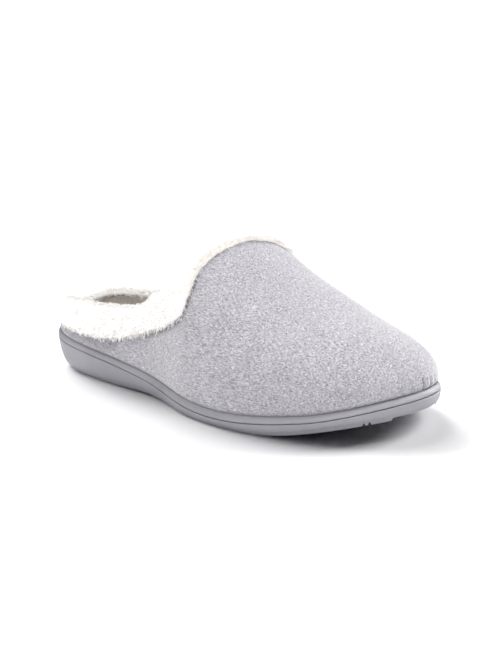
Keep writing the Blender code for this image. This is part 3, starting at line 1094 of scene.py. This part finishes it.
@dataclass
class SoleUnit:
    """The moulded outsole with its tread, and the rounded midsole band above the fine line."""

    steps: int = 150
    band_steps: int = 14
    groove_gap: float = 0.2  # width of the fine line
    band_drop: float = 0.8  # how far the band's upper edge lies below the CAD line, under the felt
    tread_depth: float = 1.6
    groove_width: float = 2.6
    groove_slope: float = 0.5
    tread_margin: float = 4.0
    apart: float = 0.0005  # an even station nearer than this to a groove's edge is left out
    heel_grooves: tuple[float, ...] = (26.0, 36.0, 46.0, 56.0)
    ball_grooves: tuple[float, ...] = (
        150.0, 160.0, 170.0, 180.0, 190.0, 200.0, 210.0, 220.0, 230.0, 239.0,
    )
    # station, how far the bottom edge is tucked in
    tuck: Table = ((0.00, 6.0), (0.12, 2.8), (0.40, 1.8), (0.55, 0.6), (0.80, 0.5), (1.00, 1.5))
    # share up the outsole's side, share of the tuck, and further inset in millimetres
    side: Table = (
        (0.00, 1.00, 0.0), (0.08, 0.70, 0.0), (0.20, 0.45, 0.0), (0.40, 0.22, 0.0), (0.65, 0.07, 0.0),
        (0.92, 0.00, 0.00), (0.97, 0.00, 0.10), (0.99, 0.00, 0.3), (1.00, 0.00, 0.9),
    )
    # share up the midsole, inset in millimetres
    band: Table = (
        (0.00, 0.9), (0.04, 0.30), (0.10, 0.08), (0.25, 0.0), (0.45, 0.08), (0.62, 0.28),
        (0.78, 0.62), (0.90, 1.0), (1.00, 1.5),
    )
    # shares up the outsole's side that get a ring
    side_rings: tuple[float, ...] = (
        0.06, 0.12, 0.20, 0.2875, 0.375, 0.4625, 0.55, 0.6375, 0.725, 0.8125, 0.90, 0.94, 0.97, 0.985, 1.0,
    )
    side_foot: float = 0.5  # height above the tread plate where those shares begin
    # inset and height above the tread plate, on the rounded step from the plate to the side
    step: Table = ((0.5, 0.0), (0.15, 0.05), (0.0, 0.3))
    plate: float = 1.4  # thickness of the tread plate under the side wall
    plate_inset: float = 0.8
    plate_round: float = 0.3
    plate_draft: float = 0.1
    plate_end: float = 252.5
    notches: tuple[float, ...] = (243.8, 245.8)
    notch_width: float = 0.6
    notch_slope: float = 0.15
    outsole_sharp: float = 40.0  # degrees
    band_sharp: float = 50.0

    def stations(self) -> Array:
        """Even turn stations, with four more at each tread groove and notch.

        Returns:
            Stations from 0 to 1.
        """
        edges = [self.plate_end, self.plate_end + self.groove_slope]
        for centres, width, slope in (
            (self.heel_grooves + self.ball_grooves, self.groove_width, self.groove_slope),
            (self.notches, self.notch_width, self.notch_slope),
        ):
            half = np.array([width / 2.0, width / 2.0 + slope])
            edges = np.append(edges, np.array(centres)[:, None] + np.concatenate([-half, half]))
        edges = edges / LAST.length
        plain = crowded(self.steps)
        clear = np.min(np.abs(plain[:, None] - edges), axis=1) > self.apart
        clear[[0, -1]] = True
        return np.unique(np.concatenate([plain[clear], edges]))

    def lift(self, x: Array, grooves: tuple[float, ...], width: float, slope: float) -> Array:
        """Share of a groove's depth: one in the groove, with a short slope on each side.

        Args:
            x: places along the length.
            grooves: centres of the grooves.
            width: width of a groove.
            slope: width of the slope.

        Returns:
            Numbers from 0 to 1.
        """
        away = np.min(np.abs(x[:, None] - np.array(grooves)), axis=1)
        return np.clip((width / 2.0 + slope - away) / slope, 0.0, 1.0)

    def slab(self, name: str, rings: list[Array], sharp: float) -> bpy.types.Object:
        """Solid from closed rings: quads between neighbours and a ladder cap at each end.

        Args:
            name: name of the piece.
            rings: rings of points, from one cap to the other.
            sharp: angle of the edges that stay sharp.

        Returns:
            The piece.
        """
        count = len(rings[0])
        faces = [quads(len(rings), count, close_columns=True)]
        faces += ladder(0, count // 2)
        faces += ladder((len(rings) - 1) * count, count // 2)
        return add_mesh(name, np.concatenate(rings), faces, sharp=sharp)

    def build_outsole(self) -> bpy.types.Object:
        """Lofts the outsole from the tread, round the bottom edge and up the side to the line.

        Returns:
            The piece.
        """
        station = self.stations()
        own = both_sides(station, station) * LAST.length
        tuck = through(self.tuck, 1, station)
        across = self.heel_grooves + self.ball_grooves
        grooves = self.lift(own, across, self.groove_width, self.groove_slope)
        notches = self.lift(own, self.notches, self.notch_width, self.notch_slope)
        past = np.clip((own - self.plate_end) / self.groove_slope, 0.0, 1.0)
        cut = np.maximum(notches, past) * self.plate
        flat = np.zeros_like(own)
        edge = self.plate_inset
        tread = [
            (edge + self.tread_margin + self.groove_slope, np.maximum(grooves * self.tread_depth, cut)),
            (edge + self.tread_margin, cut),
            (edge + self.plate_round, cut),
            (edge, np.maximum(cut, self.plate_round)),
            (edge - self.plate_draft, flat + self.plate),
        ]
        tread += [(inset, flat + self.plate + height) for inset, height in self.step]
        rings = []
        for inset, height in tread:
            ring = LAST.ring(station, tuck + inset)
            rings.append(np.column_stack([ring, LAST.bottom_z(ring[:, 0]) + height]))
        for part in self.side_rings:
            inset = tuck * through(self.side, 1, part) + through(self.side, 2, part)
            ring = LAST.ring(station, inset)
            low = LAST.bottom_z(ring[:, 0]) + self.plate + self.side_foot
            high = LAST.groove_z(ring[:, 0]) - self.groove_gap / 2.0
            rings.append(np.column_stack([ring, low + (high - low) * part]))
        return self.slab("rubber_outsole", rings, self.outsole_sharp)

    def build_midsole(self) -> bpy.types.Object:
        """Lofts the midsole's rounded band from the fine line up to the felt.

        Returns:
            The piece.
        """
        station = crowded(self.steps)
        rings = []
        for part in crowded(self.band_steps):
            ring = LAST.ring(station, float(through(self.band, 1, part)))
            low = LAST.groove_z(ring[:, 0]) + self.groove_gap / 2.0
            high = LAST.felt_z(ring[:, 0]) - LAST.sink(ring[:, 0]) - self.band_drop
            rings.append(np.column_stack([ring, low + (high - low) * part]))
        return self.slab("midsole_band", rings, self.band_sharp)

    def dress(self, outsole: bpy.types.Object, midsole: bpy.types.Object) -> None:
        """Gives both pieces their rubber, a shade lighter on the band, and settles them.

        Args:
            outsole: the outsole.
            midsole: the band above it.
        """
        outsole.data.materials.append(MouldedRubber().make())
        midsole.data.materials.append(BAND_RUBBER.make())
        settle(outsole, "grey_rubber", "outsole")
        settle(midsole, "grey_foam", "midsole")


@dataclass
class Footbed:
    """The cloth-covered insole, a little dished, with a rounded edge."""

    inset: float = 6.2
    thickness: float = 4.0
    dish: float = 0.7
    dish_edge: float = 18.0  # distance from the edge at which the dish is deepest
    round_edge: float = 1.2
    sharp: float = 60.0  # degrees
    steps: int = 120
    across: int = 24

    def build(self) -> bpy.types.Object:
        """Carries a rounded flat section from heel to toe, between the two sides of the plan.

        Returns:
            The piece.
        """
        station = crowded(self.steps)
        sides = [LAST.plan(station, np.full_like(station, self.inset), side) for side in Side]
        share = crowded(self.across)
        plan = sides[0][:, None] + (sides[1] - sides[0])[:, None] * share[None, :, None]
        width = np.linalg.norm(sides[1] - sides[0], axis=1)[:, None]
        edge = np.minimum(share, 1.0 - share)[None, :] * width
        drop = np.sqrt(np.clip(1.0 - (1.0 - edge / self.round_edge).clip(0.0, 1.0) ** 2, 0.0, 1.0))
        hollow = self.dish * np.clip(edge / self.dish_edge, 0.0, 1.0) ** 2
        base = LAST.felt_z(plan[..., 0]) + LAST.seat_gap
        top = base + self.thickness - self.round_edge * (1.0 - drop) - hollow
        upper = np.concatenate([plan, top[..., None]], axis=-1)
        lower = np.concatenate([plan, base[..., None]], axis=-1)[:, ::-1]
        loop = np.concatenate([upper, lower], axis=1)
        faces = [quads(*loop.shape[:2], close_columns=True)]
        return add_mesh("padded_footbed", loop, faces, sharp=self.sharp)

    def dress(self, piece: bpy.types.Object, cloth: WovenCloth) -> None:
        """Covers the footbed with its cloth, and settles it.

        Args:
            piece: the footbed.
            cloth: finish of its cover.
        """
        piece.data.materials.append(cloth.make())
        settle(piece, "beige_footbed_cloth", "insole")


@dataclass(frozen=True)
class FibreHabit:
    """How a fibre of the pile grows, in millimetres or in shares of its height."""

    radius: float = 0.12
    radii: tuple[float, float] = (0.75, 1.25)  # thinnest and thickest, as shares of the radius
    taper: tuple[float, ...] = (0.7, 1.0, 1.0, 0.8, 0.35)  # share of the radius from root to tip
    sides: int = 3
    sunk: float = 0.25  # depth of the root in the ring
    least: float = 0.25  # height that every fibre has
    heights: tuple[float, float] = (0.8, 1.2)  # shortest and tallest in a tuft
    low_tuft: float = 0.6  # height of the lowest tuft
    tall_tuft: float = 0.9  # how much higher the tallest one is
    knee: float = 0.8  # height of the bend
    knee_back: float = 0.1  # how far the bend keeps away from the middle of the tuft
    gather: float = 0.5  # how far the tip leans to the middle of the tuft
    lean: float = 0.75  # how far the tip leans over
    tuft_lean: float = 0.8  # lean that a tuft's fibres share
    own_lean: float = 0.3
    hang: float = 0.3  # how far all fibres lean down
    hem_hang: float = 1.6  # how much more they do so at the lower edge
    hem_fade: float = 2.0  # height over which that fades
    curl: float = 0.22  # radius of the curl
    turns: tuple[float, float] = (3.0, 5.5)  # radians that it turns by
    # painted shade: the root of each fibre is painted darker
    root_painted_lightness: float = 0.3
    tip_painted_lightness: float = 0.7  # painted shade: how much lighter the tip is painted than the root
    tuft_cells: float = 4.0  # cells to the millimetre that tell one tuft's middle from another's


@dataclass
class FleeceCuff:
    """The fleece cuff: a bobbled ring hooked over the felt edge, and thousands of curled fibres."""

    line: CuffLine
    habit: FibreHabit = FibreHabit()
    steps: int = 210
    core: float = 0.55  # share of the fleece's thickness that the ring takes, under the pile
    hem_pile: float = 1.5  # length of the pile that hangs below the ring's lower edge
    hem_wave: float = 0.6
    hem_wave_length: float = 6.0
    inner_depth: float = 1.6  # how far the fleece hangs over the edge inside
    inner_least: float = 0.3  # lowest share up the cuff that it hangs to
    inner_tall: float = 0.1  # least share of the cuff between it and the rim
    edge_tall: float = 0.05  # least share of the cuff between the felt's edge and the rim
    tuft: float = 2.6  # spacing of the tufts
    tuft_height: float = 0.235  # share of the fleece's thickness
    pile_height: float = 0.40  # share of the fleece's thickness
    ring_wave: float = 0.09  # share of the fleece's thickness
    ring_wave_length: float = 7.0
    hollow_painted_lightness: float = 0.35  # painted shade: how light the hollows between the bobbles are painted
    bobble_painted_lightness: float = 0.4  # painted light: how much lighter the tops of the bobbles are painted
    # corners up the outside: share of the way from hem to rim, share of the ring's outer thickness
    outer: Table = ((0.00, 0.62), (0.14, 0.94), (0.45, 1.00), (0.85, 0.86))
    rim_out: float = 0.42  # share of the outer thickness at the rim
    rim_in: float = 0.45  # share of the inner thickness at the rim
    inner_in: float = 0.8  # share of the inner thickness at the inner hem
    belly: float = 0.4  # share of the way from the rim down to the inner hem where it is thickest
    corner_steps: tuple[int, ...] = (3, 4, 9, 9, 6, 8, 6, 5, 3, 5, 4, 8)  # from each corner to the next
    open_corners: int = 9  # pile grows on the first ones, and the rest lie on the felt
    hem_corner: int = 2  # from the side corner to this one is down
    side_corner: int = 4
    smoothing: int = 4  # times that each point is averaged with its neighbours
    # row of the cuff line's table, how far the rim is puffed up on the outer and the inner side
    puff: Table = (
        (0.0, -0.8, -0.8), (0.5, 1.8, -0.9), (1.0, 3.7, 0.9), (1.5, 4.8, 2.3), (2.0, 5.4, 2.2),
        (2.5, 5.2, 1.0), (3.0, 4.6, -0.3), (3.5, 3.4, -0.8), (4.0, 2.2, -0.4), (5.0, -0.3, 0.0),
        (6.2, -1.4, 0.0), (6.7, 0.9, 0.0), (7.1, 2.4, 0.0), (7.7, 2.3, 0.0), (8.5, 1.0, 0.0),
        (9.5, 0.0, 0.0), (16.0, 0.0, 0.0),
    )
    # row of the cuff line's table, and how light the pile is painted: the short pile at the throat is
    # painted creamier, as shade
    white: Table = ((0.0, 1.0), (8.5, 1.0), (12.0, 0.60), (16.0, 0.60))
    heel_bulge: float = 3.5  # how much thicker the fleece is inside the heel
    heel_width: float = 1.3  # rows of the table over which that fades
    spacing: float = 0.5  # between fibres
    most: int = 7600  # fibres in a pile
    tries: int = 6  # roots scattered for each fibre that is kept

    def section(self, rows: Array, side: Side) -> tuple[Array, Array, Array]:
        """Section of the ring: its corners, joined by straight steps and then smoothed.

        Args:
            rows: rows of the cuff line's table.
            side: side of the shoe.

        Returns:
            Share up the cuff and offset from the last for each row and step, and for each step how
            far the pile is open to the air.
        """
        pile = (self.tuft_height + self.pile_height) * rows[:, 5]
        place = self.line.places(len(rows) - 1)
        puff = through(self.puff, 1 + side.value, place)
        top = pile - puff
        depth = self.inner_depth + (puff.clip(0.0) if side is Side.OUTER else 0.0)
        rim = self.line.share(rows, side, top)
        foot = LAST.point(rows[:, 1], rows[:, 2], side)
        hem = self.hem_pile + self.hem_wave * swell(foot, self.hem_wave_length, Seed.HEM_WAVE)
        low = 1.0 - self.line.share(rows, side, hem) + self.line.hem(len(rows) - 1, side)
        edge = self.line.share(rows, side, self.line.over_edge - self.line.gap)
        edge = np.clip(edge, 0.0, rim - self.edge_tall)
        inner = np.clip(self.line.share(rows, side, top + depth), self.inner_least, rim - self.inner_tall)
        out = rows[:, 5] * self.core
        deep = rows[:, 6] * self.core + self.heel_bulge * bell(place, self.heel_width)
        flat, wall, gap = np.zeros_like(out), self.line.wall, self.line.gap
        tall = rim - low
        corners = [
            (low, flat + gap / 2.0),
            *((low + tall * up, out * thick) for up, thick in self.outer),
            (rim, out * self.rim_out),
            (rim, -wall - deep * self.rim_in),
            (inner * self.belly + rim * (1.0 - self.belly), -wall - deep),
            (inner, -wall - deep * self.inner_in),
            (inner, flat - wall - gap),
            (edge, flat - wall - gap),
            (edge, flat + gap / 2.0),
        ]
        share, off = (np.stack(part, axis=1) for part in zip(*corners))
        open_air = (np.arange(len(corners)) < self.open_corners).astype(float)
        first = np.repeat(np.arange(len(corners)), self.corner_steps)
        part = np.concatenate([np.arange(n) / n for n in self.corner_steps])[:, None]
        ends = np.eye(len(corners))
        weights = ends[first] * (1.0 - part) + ends[(first + 1) % len(corners)] * part
        for _ in range(self.smoothing):
            weights = (np.roll(weights, 1, axis=0) + 2.0 * weights + np.roll(weights, -1, axis=0)) / 4.0
        return share @ weights.T, off @ weights.T, weights @ open_air

    def shape(self) -> None:
        """Works out the bobbled ring: the section carried round the collar, swollen by its tufts."""
        rows = self.line.rows(self.steps)
        halves, offs = [], []
        for side in Side:
            share, off, open_air = self.section(rows, side)
            station, climb = self.line.place(rows, share)
            halves.append(LAST.lifted(station, climb, side, off))
            offs.append(off)
        ring = both_sides(*halves)
        self.outside = both_sides(*offs) > -self.line.wall / 2.0
        self.thick = both_sides(rows, rows)[:, 5:6]
        place = self.line.places(self.steps)[:, None]
        self.row_painted_lightness = through(self.white, 1, both_sides(place, place))
        self.open_air = open_air
        swollen = self.tuft_height * bobbles(ring, self.tuft, Seed.TUFT)[0]
        swollen += self.ring_wave * swell(ring, self.ring_wave_length, Seed.RING_WAVE)
        self.ring = ring + self.normals(ring) * (swollen * open_air * self.thick)[..., None]
        hem, top = (sum(self.corner_steps[:k]) for k in (self.hem_corner, self.side_corner))
        self.hem, self.down = ring[:, hem], unit(ring[:, hem] - ring[:, top])

    @staticmethod
    def normals(ring: Array) -> Array:
        """Outward normals of a closed ring: the cross product along and round it.

        Args:
            ring: points, round the collar and round the section.

        Returns:
            Vectors of length one.
        """
        normal = unit(np.cross(span(ring), span(ring, 1)))
        away = ring - ring.mean(axis=1, keepdims=True)
        return normal if np.sum(normal * away) > 0.0 else -normal

    def build_ring(self) -> bpy.types.Object:
        """Makes the bobbled ring.

        Returns:
            The piece.
        """
        bobble = bobbles(self.ring, self.tuft, Seed.TUFT)[0]
        # painted shade: darker in the hollows between bobbles, lighter on their tops, and darker on the
        # short pile at the throat
        white = (self.hollow_painted_lightness + self.bobble_painted_lightness * bobble) * self.row_painted_lightness
        faces = [quads(*self.ring.shape[:2], close_rows=True, close_columns=True)]
        return add_mesh("fleece_cuff", self.ring, faces, marks={"pile": white})

    def roots(self, pile: Pile) -> tuple[Array, Array]:
        """Scatters fibre roots by area and keeps one in each cell of a cubic lattice.

        Args:
            pile: patch of the cuff.

        Returns:
            Numbers of the ring's points that fibres grow from, and the places of their roots.
        """
        ring = self.ring
        along, around = span(ring) / 2.0, span(ring, 1) / 2.0
        area = np.linalg.norm(np.cross(along, around), axis=-1)
        outer_side = np.arange(len(ring))[:, None] <= self.steps
        patch = {
            Pile.OUTER_SIDE: self.outside & outer_side,
            Pile.INNER_SIDE: self.outside & ~outer_side,
            Pile.INSIDE: ~self.outside,
        }[pile]
        area = (area * ((self.open_air > 0.5) & patch)).ravel()
        rng = np.random.default_rng(pile.value[1])
        pick = rng.choice(area.size, size=self.most * self.tries, p=area / area.sum())
        jitter = rng.uniform(-0.5, 0.5, (2, len(pick), 1))
        root = ring.reshape(-1, 3)[pick]
        root = root + along.reshape(-1, 3)[pick] * jitter[0] + around.reshape(-1, 3)[pick] * jitter[1]
        cell = np.floor(root / self.spacing).astype(np.int64)
        _, first = np.unique(cell, axis=0, return_index=True)
        first = rng.permutation(first)[: self.most]
        return pick[first], root[first]

    def build_pile(self, pile: Pile) -> bpy.types.Object:
        """Grows curled fibres that gather into tufts.

        A fibre is a quadratic curve from its root, out along the normal and over to a tip near the
        middle of its tuft, with a turning curl added. All fibres of a tuft lean the same way, and a
        little down, and at the lower edge they hang over the felt. Round the curve goes a
        three-sided tube, closed at both ends.

        Args:
            pile: patch of the cuff.

        Returns:
            The piece.
        """
        habit = self.habit
        pick, root = self.roots(pile)
        rng = np.random.default_rng(pile.value[2])
        n = len(pick)
        normal = self.normals(self.ring).reshape(-1, 3)[pick]
        way = bobbles(root, self.tuft, Seed.TUFT)[1] * self.tuft
        middle = np.round((root + way) * habit.tuft_cells)
        column = pick // self.ring.shape[1]
        down = self.down[column]
        above = np.clip(-np.sum((root - self.hem[column]) * down, axis=1, keepdims=True), 0.0, None)
        lean = np.stack([lattice(middle, Seed.LEAN + k) for k in range(3)], axis=-1) * 2.0 - 1.0
        more = habit.hem_hang * lattice(middle, Seed.HANG)[:, None] * bell(above, habit.hem_fade)
        lean = lean * habit.tuft_lean + habit.own_lean * rng.normal(size=(n, 3)) + down * (habit.hang + more)
        lean, way = (v - np.sum(v * normal, axis=1, keepdims=True) * normal for v in (lean, way))
        tall = self.pile_height * self.thick[column] * rng.uniform(*habit.heights, (n, 1))
        tuft = habit.low_tuft + habit.tall_tuft * lattice(middle, Seed.HEIGHT)
        tall = habit.least + tall * tuft[:, None]
        knee = root + normal * tall * habit.knee - way * habit.knee_back
        tip = root + normal * tall + way * habit.gather + lean * tall * habit.lean
        root = root - normal * habit.sunk
        t = np.linspace(0.0, 1.0, len(habit.taper))[None, :, None]
        path = (1 - t) ** 2 * root[:, None] + 2 * t * (1 - t) * knee[:, None] + t**2 * tip[:, None]
        ahead = unit((1 - t) * (knee - root)[:, None] + t * (tip - knee)[:, None])
        side = unit(np.cross(ahead, unit(rng.normal(size=(n, 3)))[:, None]))
        other = np.cross(ahead, side)
        turn = rng.uniform(0.0, 2.0 * np.pi, (n, 1, 1)) + rng.uniform(*habit.turns, (n, 1, 1)) * t
        path = path + habit.curl * t * (side * np.cos(turn) + other * np.sin(turn))
        radius = habit.radius * rng.uniform(*habit.radii, (n, 1)) * np.array(habit.taper)
        corner = np.arange(habit.sides)[:, None] * 2.0 * np.pi / habit.sides
        spoke = side[:, :, None] * np.cos(corner) + other[:, :, None] * np.sin(corner)
        points = path[:, :, None] + spoke * radius[..., None, None]
        per = len(habit.taper) * habit.sides
        tube = quads(len(habit.taper), habit.sides, close_columns=True)
        first = np.arange(habit.sides)
        caps = np.stack([first[::-1], first + per - habit.sides])
        shift = np.arange(n)[:, None, None] * per
        faces = [(part + shift).reshape(-1, part.shape[1]) for part in (tube, caps)]
        # painted shade: each fibre darker at its root than at its tip, and darker on the short pile at the
        # throat
        white = (habit.root_painted_lightness + habit.tip_painted_lightness * t) * self.row_painted_lightness[column][:, None]
        white = np.broadcast_to(white[..., None], points.shape[:3] + (1,))
        return add_mesh(pile.value[0], points, faces, marks={"pile": white})

    def dress(self, cuff: bpy.types.Object, piles: list[bpy.types.Object], fleece: CurlyFleece) -> None:
        """Gives the ring and its piles one fleece, and settles them.

        Args:
            cuff: the bobbled ring.
            piles: the piles that grow on it.
            fleece: finish of all of them.
        """
        material = fleece.make()
        for piece in (cuff, *piles):
            piece.data.materials.append(material)
            settle(piece, "white_fleece", "collar" if piece is cuff else None)


# The studio


# places of the suns that felt, sole and fleece share: ahead of the camera, to its right and up, in metres
BACK = (0.30, 0.80, 2.00)
EDGE = (0.75, 1.00, 0.32)
HEEL = (0.55, -0.83, 0.75)


@dataclass(frozen=True)
class Lamp:
    """One lamp of the studio, placed ahead of the camera, to its right and up, in metres."""

    name: str
    reach: Reach
    kind: LampKind
    place: tuple[float, float, float]
    strength: float  # W/m² for a sun, W for an area
    spread: float  # degrees across for a sun, metres across for an area


@dataclass
class Studio:
    """Plain pale floor, soft light from above and behind, and a camera at the photo's angle."""

    azimuth: float = 48.1
    elevation: float = 14.7
    distance: float = 0.8262
    roll: float = -3.77
    focal: float = 1589.8  # pixels
    frame: float = 669.0  # pixels on the long side
    sensor: float = 36.0  # mm on the long side
    clip: tuple[float, float] = (0.01, 50.0)  # nearest and farthest that shows, in metres
    aim: float = 26.2  # pixels from the middle of the shoe to the middle of the frame
    target: tuple[float, float, float] = (0.0, 0.0, 0.030)
    ambient: float = 0.005
    sky: str = "#fdfdff"
    floor_half: float = 9000.0  # mm from the middle of the floor to its side
    floor_points: int = 5  # along a side
    lamps: tuple[Lamp, ...] = (
        Lamp("back_sun", Reach.SHOE, LampKind.SUN, BACK, 2.98, 22.0),
        Lamp("edge_sun", Reach.SHOE, LampKind.SUN, EDGE, 1.2, 25.0),
        Lamp("felt_heel_sun", Reach.UPPER, LampKind.SUN, HEEL, 1.80, 25.0),
        Lamp("sole_heel_sun", Reach.SOLE, LampKind.SUN, HEEL, 0.60, 25.0),
        Lamp("front_fill", Reach.SHOE, LampKind.AREA, (-1.20, -0.10, 0.50), 12.6, 1.4),
        Lamp("fleece_back_sun", Reach.FLEECE, LampKind.SUN, BACK, 1.1, 22.0),
        Lamp("fleece_heel_sun", Reach.FLEECE, LampKind.SUN, HEEL, 2.1, 25.0),
        Lamp("fleece_edge_sun", Reach.FLEECE, LampKind.SUN, EDGE, 0.9, 25.0),
        Lamp("fleece_right_fill", Reach.FLEECE, LampKind.AREA, (-0.90, 0.90, 0.60), 15.0, 1.4),
        Lamp("fleece_left_fill", Reach.FLEECE, LampKind.AREA, (-0.70, -0.90, 1.10), 7.8, 0.6),
        Lamp("fleece_side_fill", Reach.FLEECE, LampKind.AREA, (0.00, -0.55, 0.06), 2.4, 0.15),
        Lamp("floor_heel_sun", Reach.FLOOR, LampKind.SUN, (1.29, -1.16, 1.00), 2.68, 30.0),
        Lamp("floor_back_sun", Reach.FLOOR, LampKind.SUN, (1.63, -0.59, 1.00), 1.94, 30.0),
        Lamp("floor_high_sun", Reach.FLOOR, LampKind.SUN, (1.21, -0.44, 1.53), 1.53, 30.0),
        Lamp("floor_right_sun", Reach.FLOOR, LampKind.SUN, (0.87, 1.50, 1.00), 3.17, 30.0),
        Lamp("floor_right_high_sun", Reach.FLOOR, LampKind.SUN, (0.64, 1.11, 1.53), 0.54, 30.0),
    )

    def toward(self) -> Array:
        """Vector of length one from the shoe to the camera."""
        az, el = np.radians([self.azimuth, self.elevation])
        return np.array([np.sin(az) * np.cos(el), -np.cos(az) * np.cos(el), np.sin(el)])

    def axes(self) -> tuple[Vector, Vector, Vector]:
        """Camera axes right, up and back, from azimuth and elevation, then rolled and aimed.

        Returns:
            Three vectors of length one.
        """
        az, roll = np.radians([self.azimuth, self.roll])
        back = self.toward()
        level = np.array([np.cos(az), np.sin(az), 0.0])
        up = np.cross(back, level)
        right = np.cos(roll) * level + np.sin(roll) * up
        back = unit(back - right * self.aim / self.focal)
        right = unit(right - back * (right @ back))
        return Vector(right), Vector(np.cross(back, right)), Vector(back)

    def add_camera(self) -> None:
        """Adds the camera, at its distance from the shoe, and makes it the scene's own."""
        data = bpy.data.cameras.new("photo_camera")
        data.lens = self.focal * self.sensor / self.frame
        data.sensor_width = self.sensor
        data.clip_start, data.clip_end = self.clip
        camera = bpy.data.objects.new("photo_camera", data)
        turn = Matrix(self.axes()).transposed().to_4x4()
        place = Vector(self.target + self.toward() * self.distance)
        camera.matrix_world = Matrix.Translation(place) @ turn
        bpy.context.scene.collection.objects.link(camera)
        bpy.context.scene.camera = camera

    def add_floor(self, paint: PaintedFloor) -> bpy.types.Object:
        """Adds a flat square floor, z = 0.

        Args:
            paint: finish of the floor.

        Returns:
            The floor.
        """
        side = np.linspace(-self.floor_half, self.floor_half, self.floor_points)
        x, y = np.meshgrid(side, side, indexing="ij")
        points = np.stack([x, y, np.zeros_like(x)], axis=-1)
        floor = add_mesh("pale_floor", points, [quads(self.floor_points, self.floor_points)])
        if floor.data.polygons[0].normal.z < 0.0:
            floor.data.flip_normals()
        floor.data.materials.append(paint.make())
        return floor

    def add_lamp(self, lamp: Lamp, lit: dict[Reach, bpy.types.Collection]) -> None:
        """Adds a lamp that looks at the shoe.

        Args:
            lamp: the lamp's place and strength.
            lit: the pieces that each reach takes in.
        """
        right, _, back = self.axes()
        ahead = Vector((-back.x, -back.y, 0.0)).normalized()
        across = Vector((right.x, right.y, 0.0)).normalized()
        place = ahead * lamp.place[0] + across * lamp.place[1] + Vector((0.0, 0.0, lamp.place[2]))
        data = bpy.data.lights.new(lamp.name, lamp.kind.value)
        data.energy = lamp.strength
        if lamp.kind is LampKind.SUN:
            data.angle = float(np.radians(lamp.spread))
        else:
            data.size = lamp.spread
        obj = bpy.data.objects.new(lamp.name, data)
        obj.location = place
        obj.rotation_mode = "QUATERNION"
        obj.rotation_quaternion = (place - Vector(self.target)).to_track_quat("Z", "Y")
        bpy.context.scene.collection.objects.link(obj)
        obj.light_linking.receiver_collection = lit[lamp.reach]

    def light(self, pieces: list[bpy.types.Object], floor: bpy.types.Object) -> None:
        """Lights felt and sole with soft suns and a wide fill, and fleece and floor with their own lamps.

        The lowest of the suns gives the vamp its pale edge, and the one at the heel is weaker on the
        sole. The fleece is lit from both sides as well, so that it stays white where it faces the
        camera. The floor's suns stand low and far apart, so that they leave one dark, soft-edged
        shadow under the ball of the foot and hardly any beside the heel.

        Args:
            pieces: the pieces of the shoe.
            floor: the floor.
        """
        lit = {reach: bpy.data.collections.new(f"lit_{reach.value}") for reach in Reach}
        lit[Reach.FLOOR].objects.link(floor)
        for piece in pieces:
            if "fleece" in piece.name:
                lit[Reach.FLEECE].objects.link(piece)
                continue
            lit[Reach.SHOE].objects.link(piece)
            lit[Reach.SOLE if "sole" in piece.name else Reach.UPPER].objects.link(piece)
        for lamp in self.lamps:
            self.add_lamp(lamp, lit)
        world = bpy.data.worlds.new("pale_surround")
        world.use_nodes = True
        sky = world.node_tree.nodes["Background"]
        sky.inputs["Color"].default_value = linear(self.sky)
        sky.inputs["Strength"].default_value = self.ambient
        scene = bpy.context.scene
        scene.world = world
        scene.view_settings.view_transform = "Standard"


def main() -> None:
    """Loads the frame, builds and dresses the pieces in order, and sets up the studio."""
    logging.basicConfig(level=logging.INFO, format="%(name)s: %(message)s")
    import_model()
    studio = Studio()
    studio.add_camera()
    sole = SoleUnit()
    sole.dress(sole.build_outsole(), sole.build_midsole())
    footbed = Footbed()
    footbed.dress(footbed.build(), WovenCloth())
    line = CuffLine()
    upper = FeltUpper(line)
    upper.dress(upper.build(), WoolFelt(), LINING)
    fleece = FleeceCuff(line)
    fleece.shape()
    fleece.dress(fleece.build_ring(), [fleece.build_pile(pile) for pile in Pile], CurlyFleece())
    pieces = [obj for obj in bpy.context.scene.objects if obj.type == "MESH"]
    studio.light(pieces, studio.add_floor(PaintedFloor()))


if __name__ == "__main__":
    main()
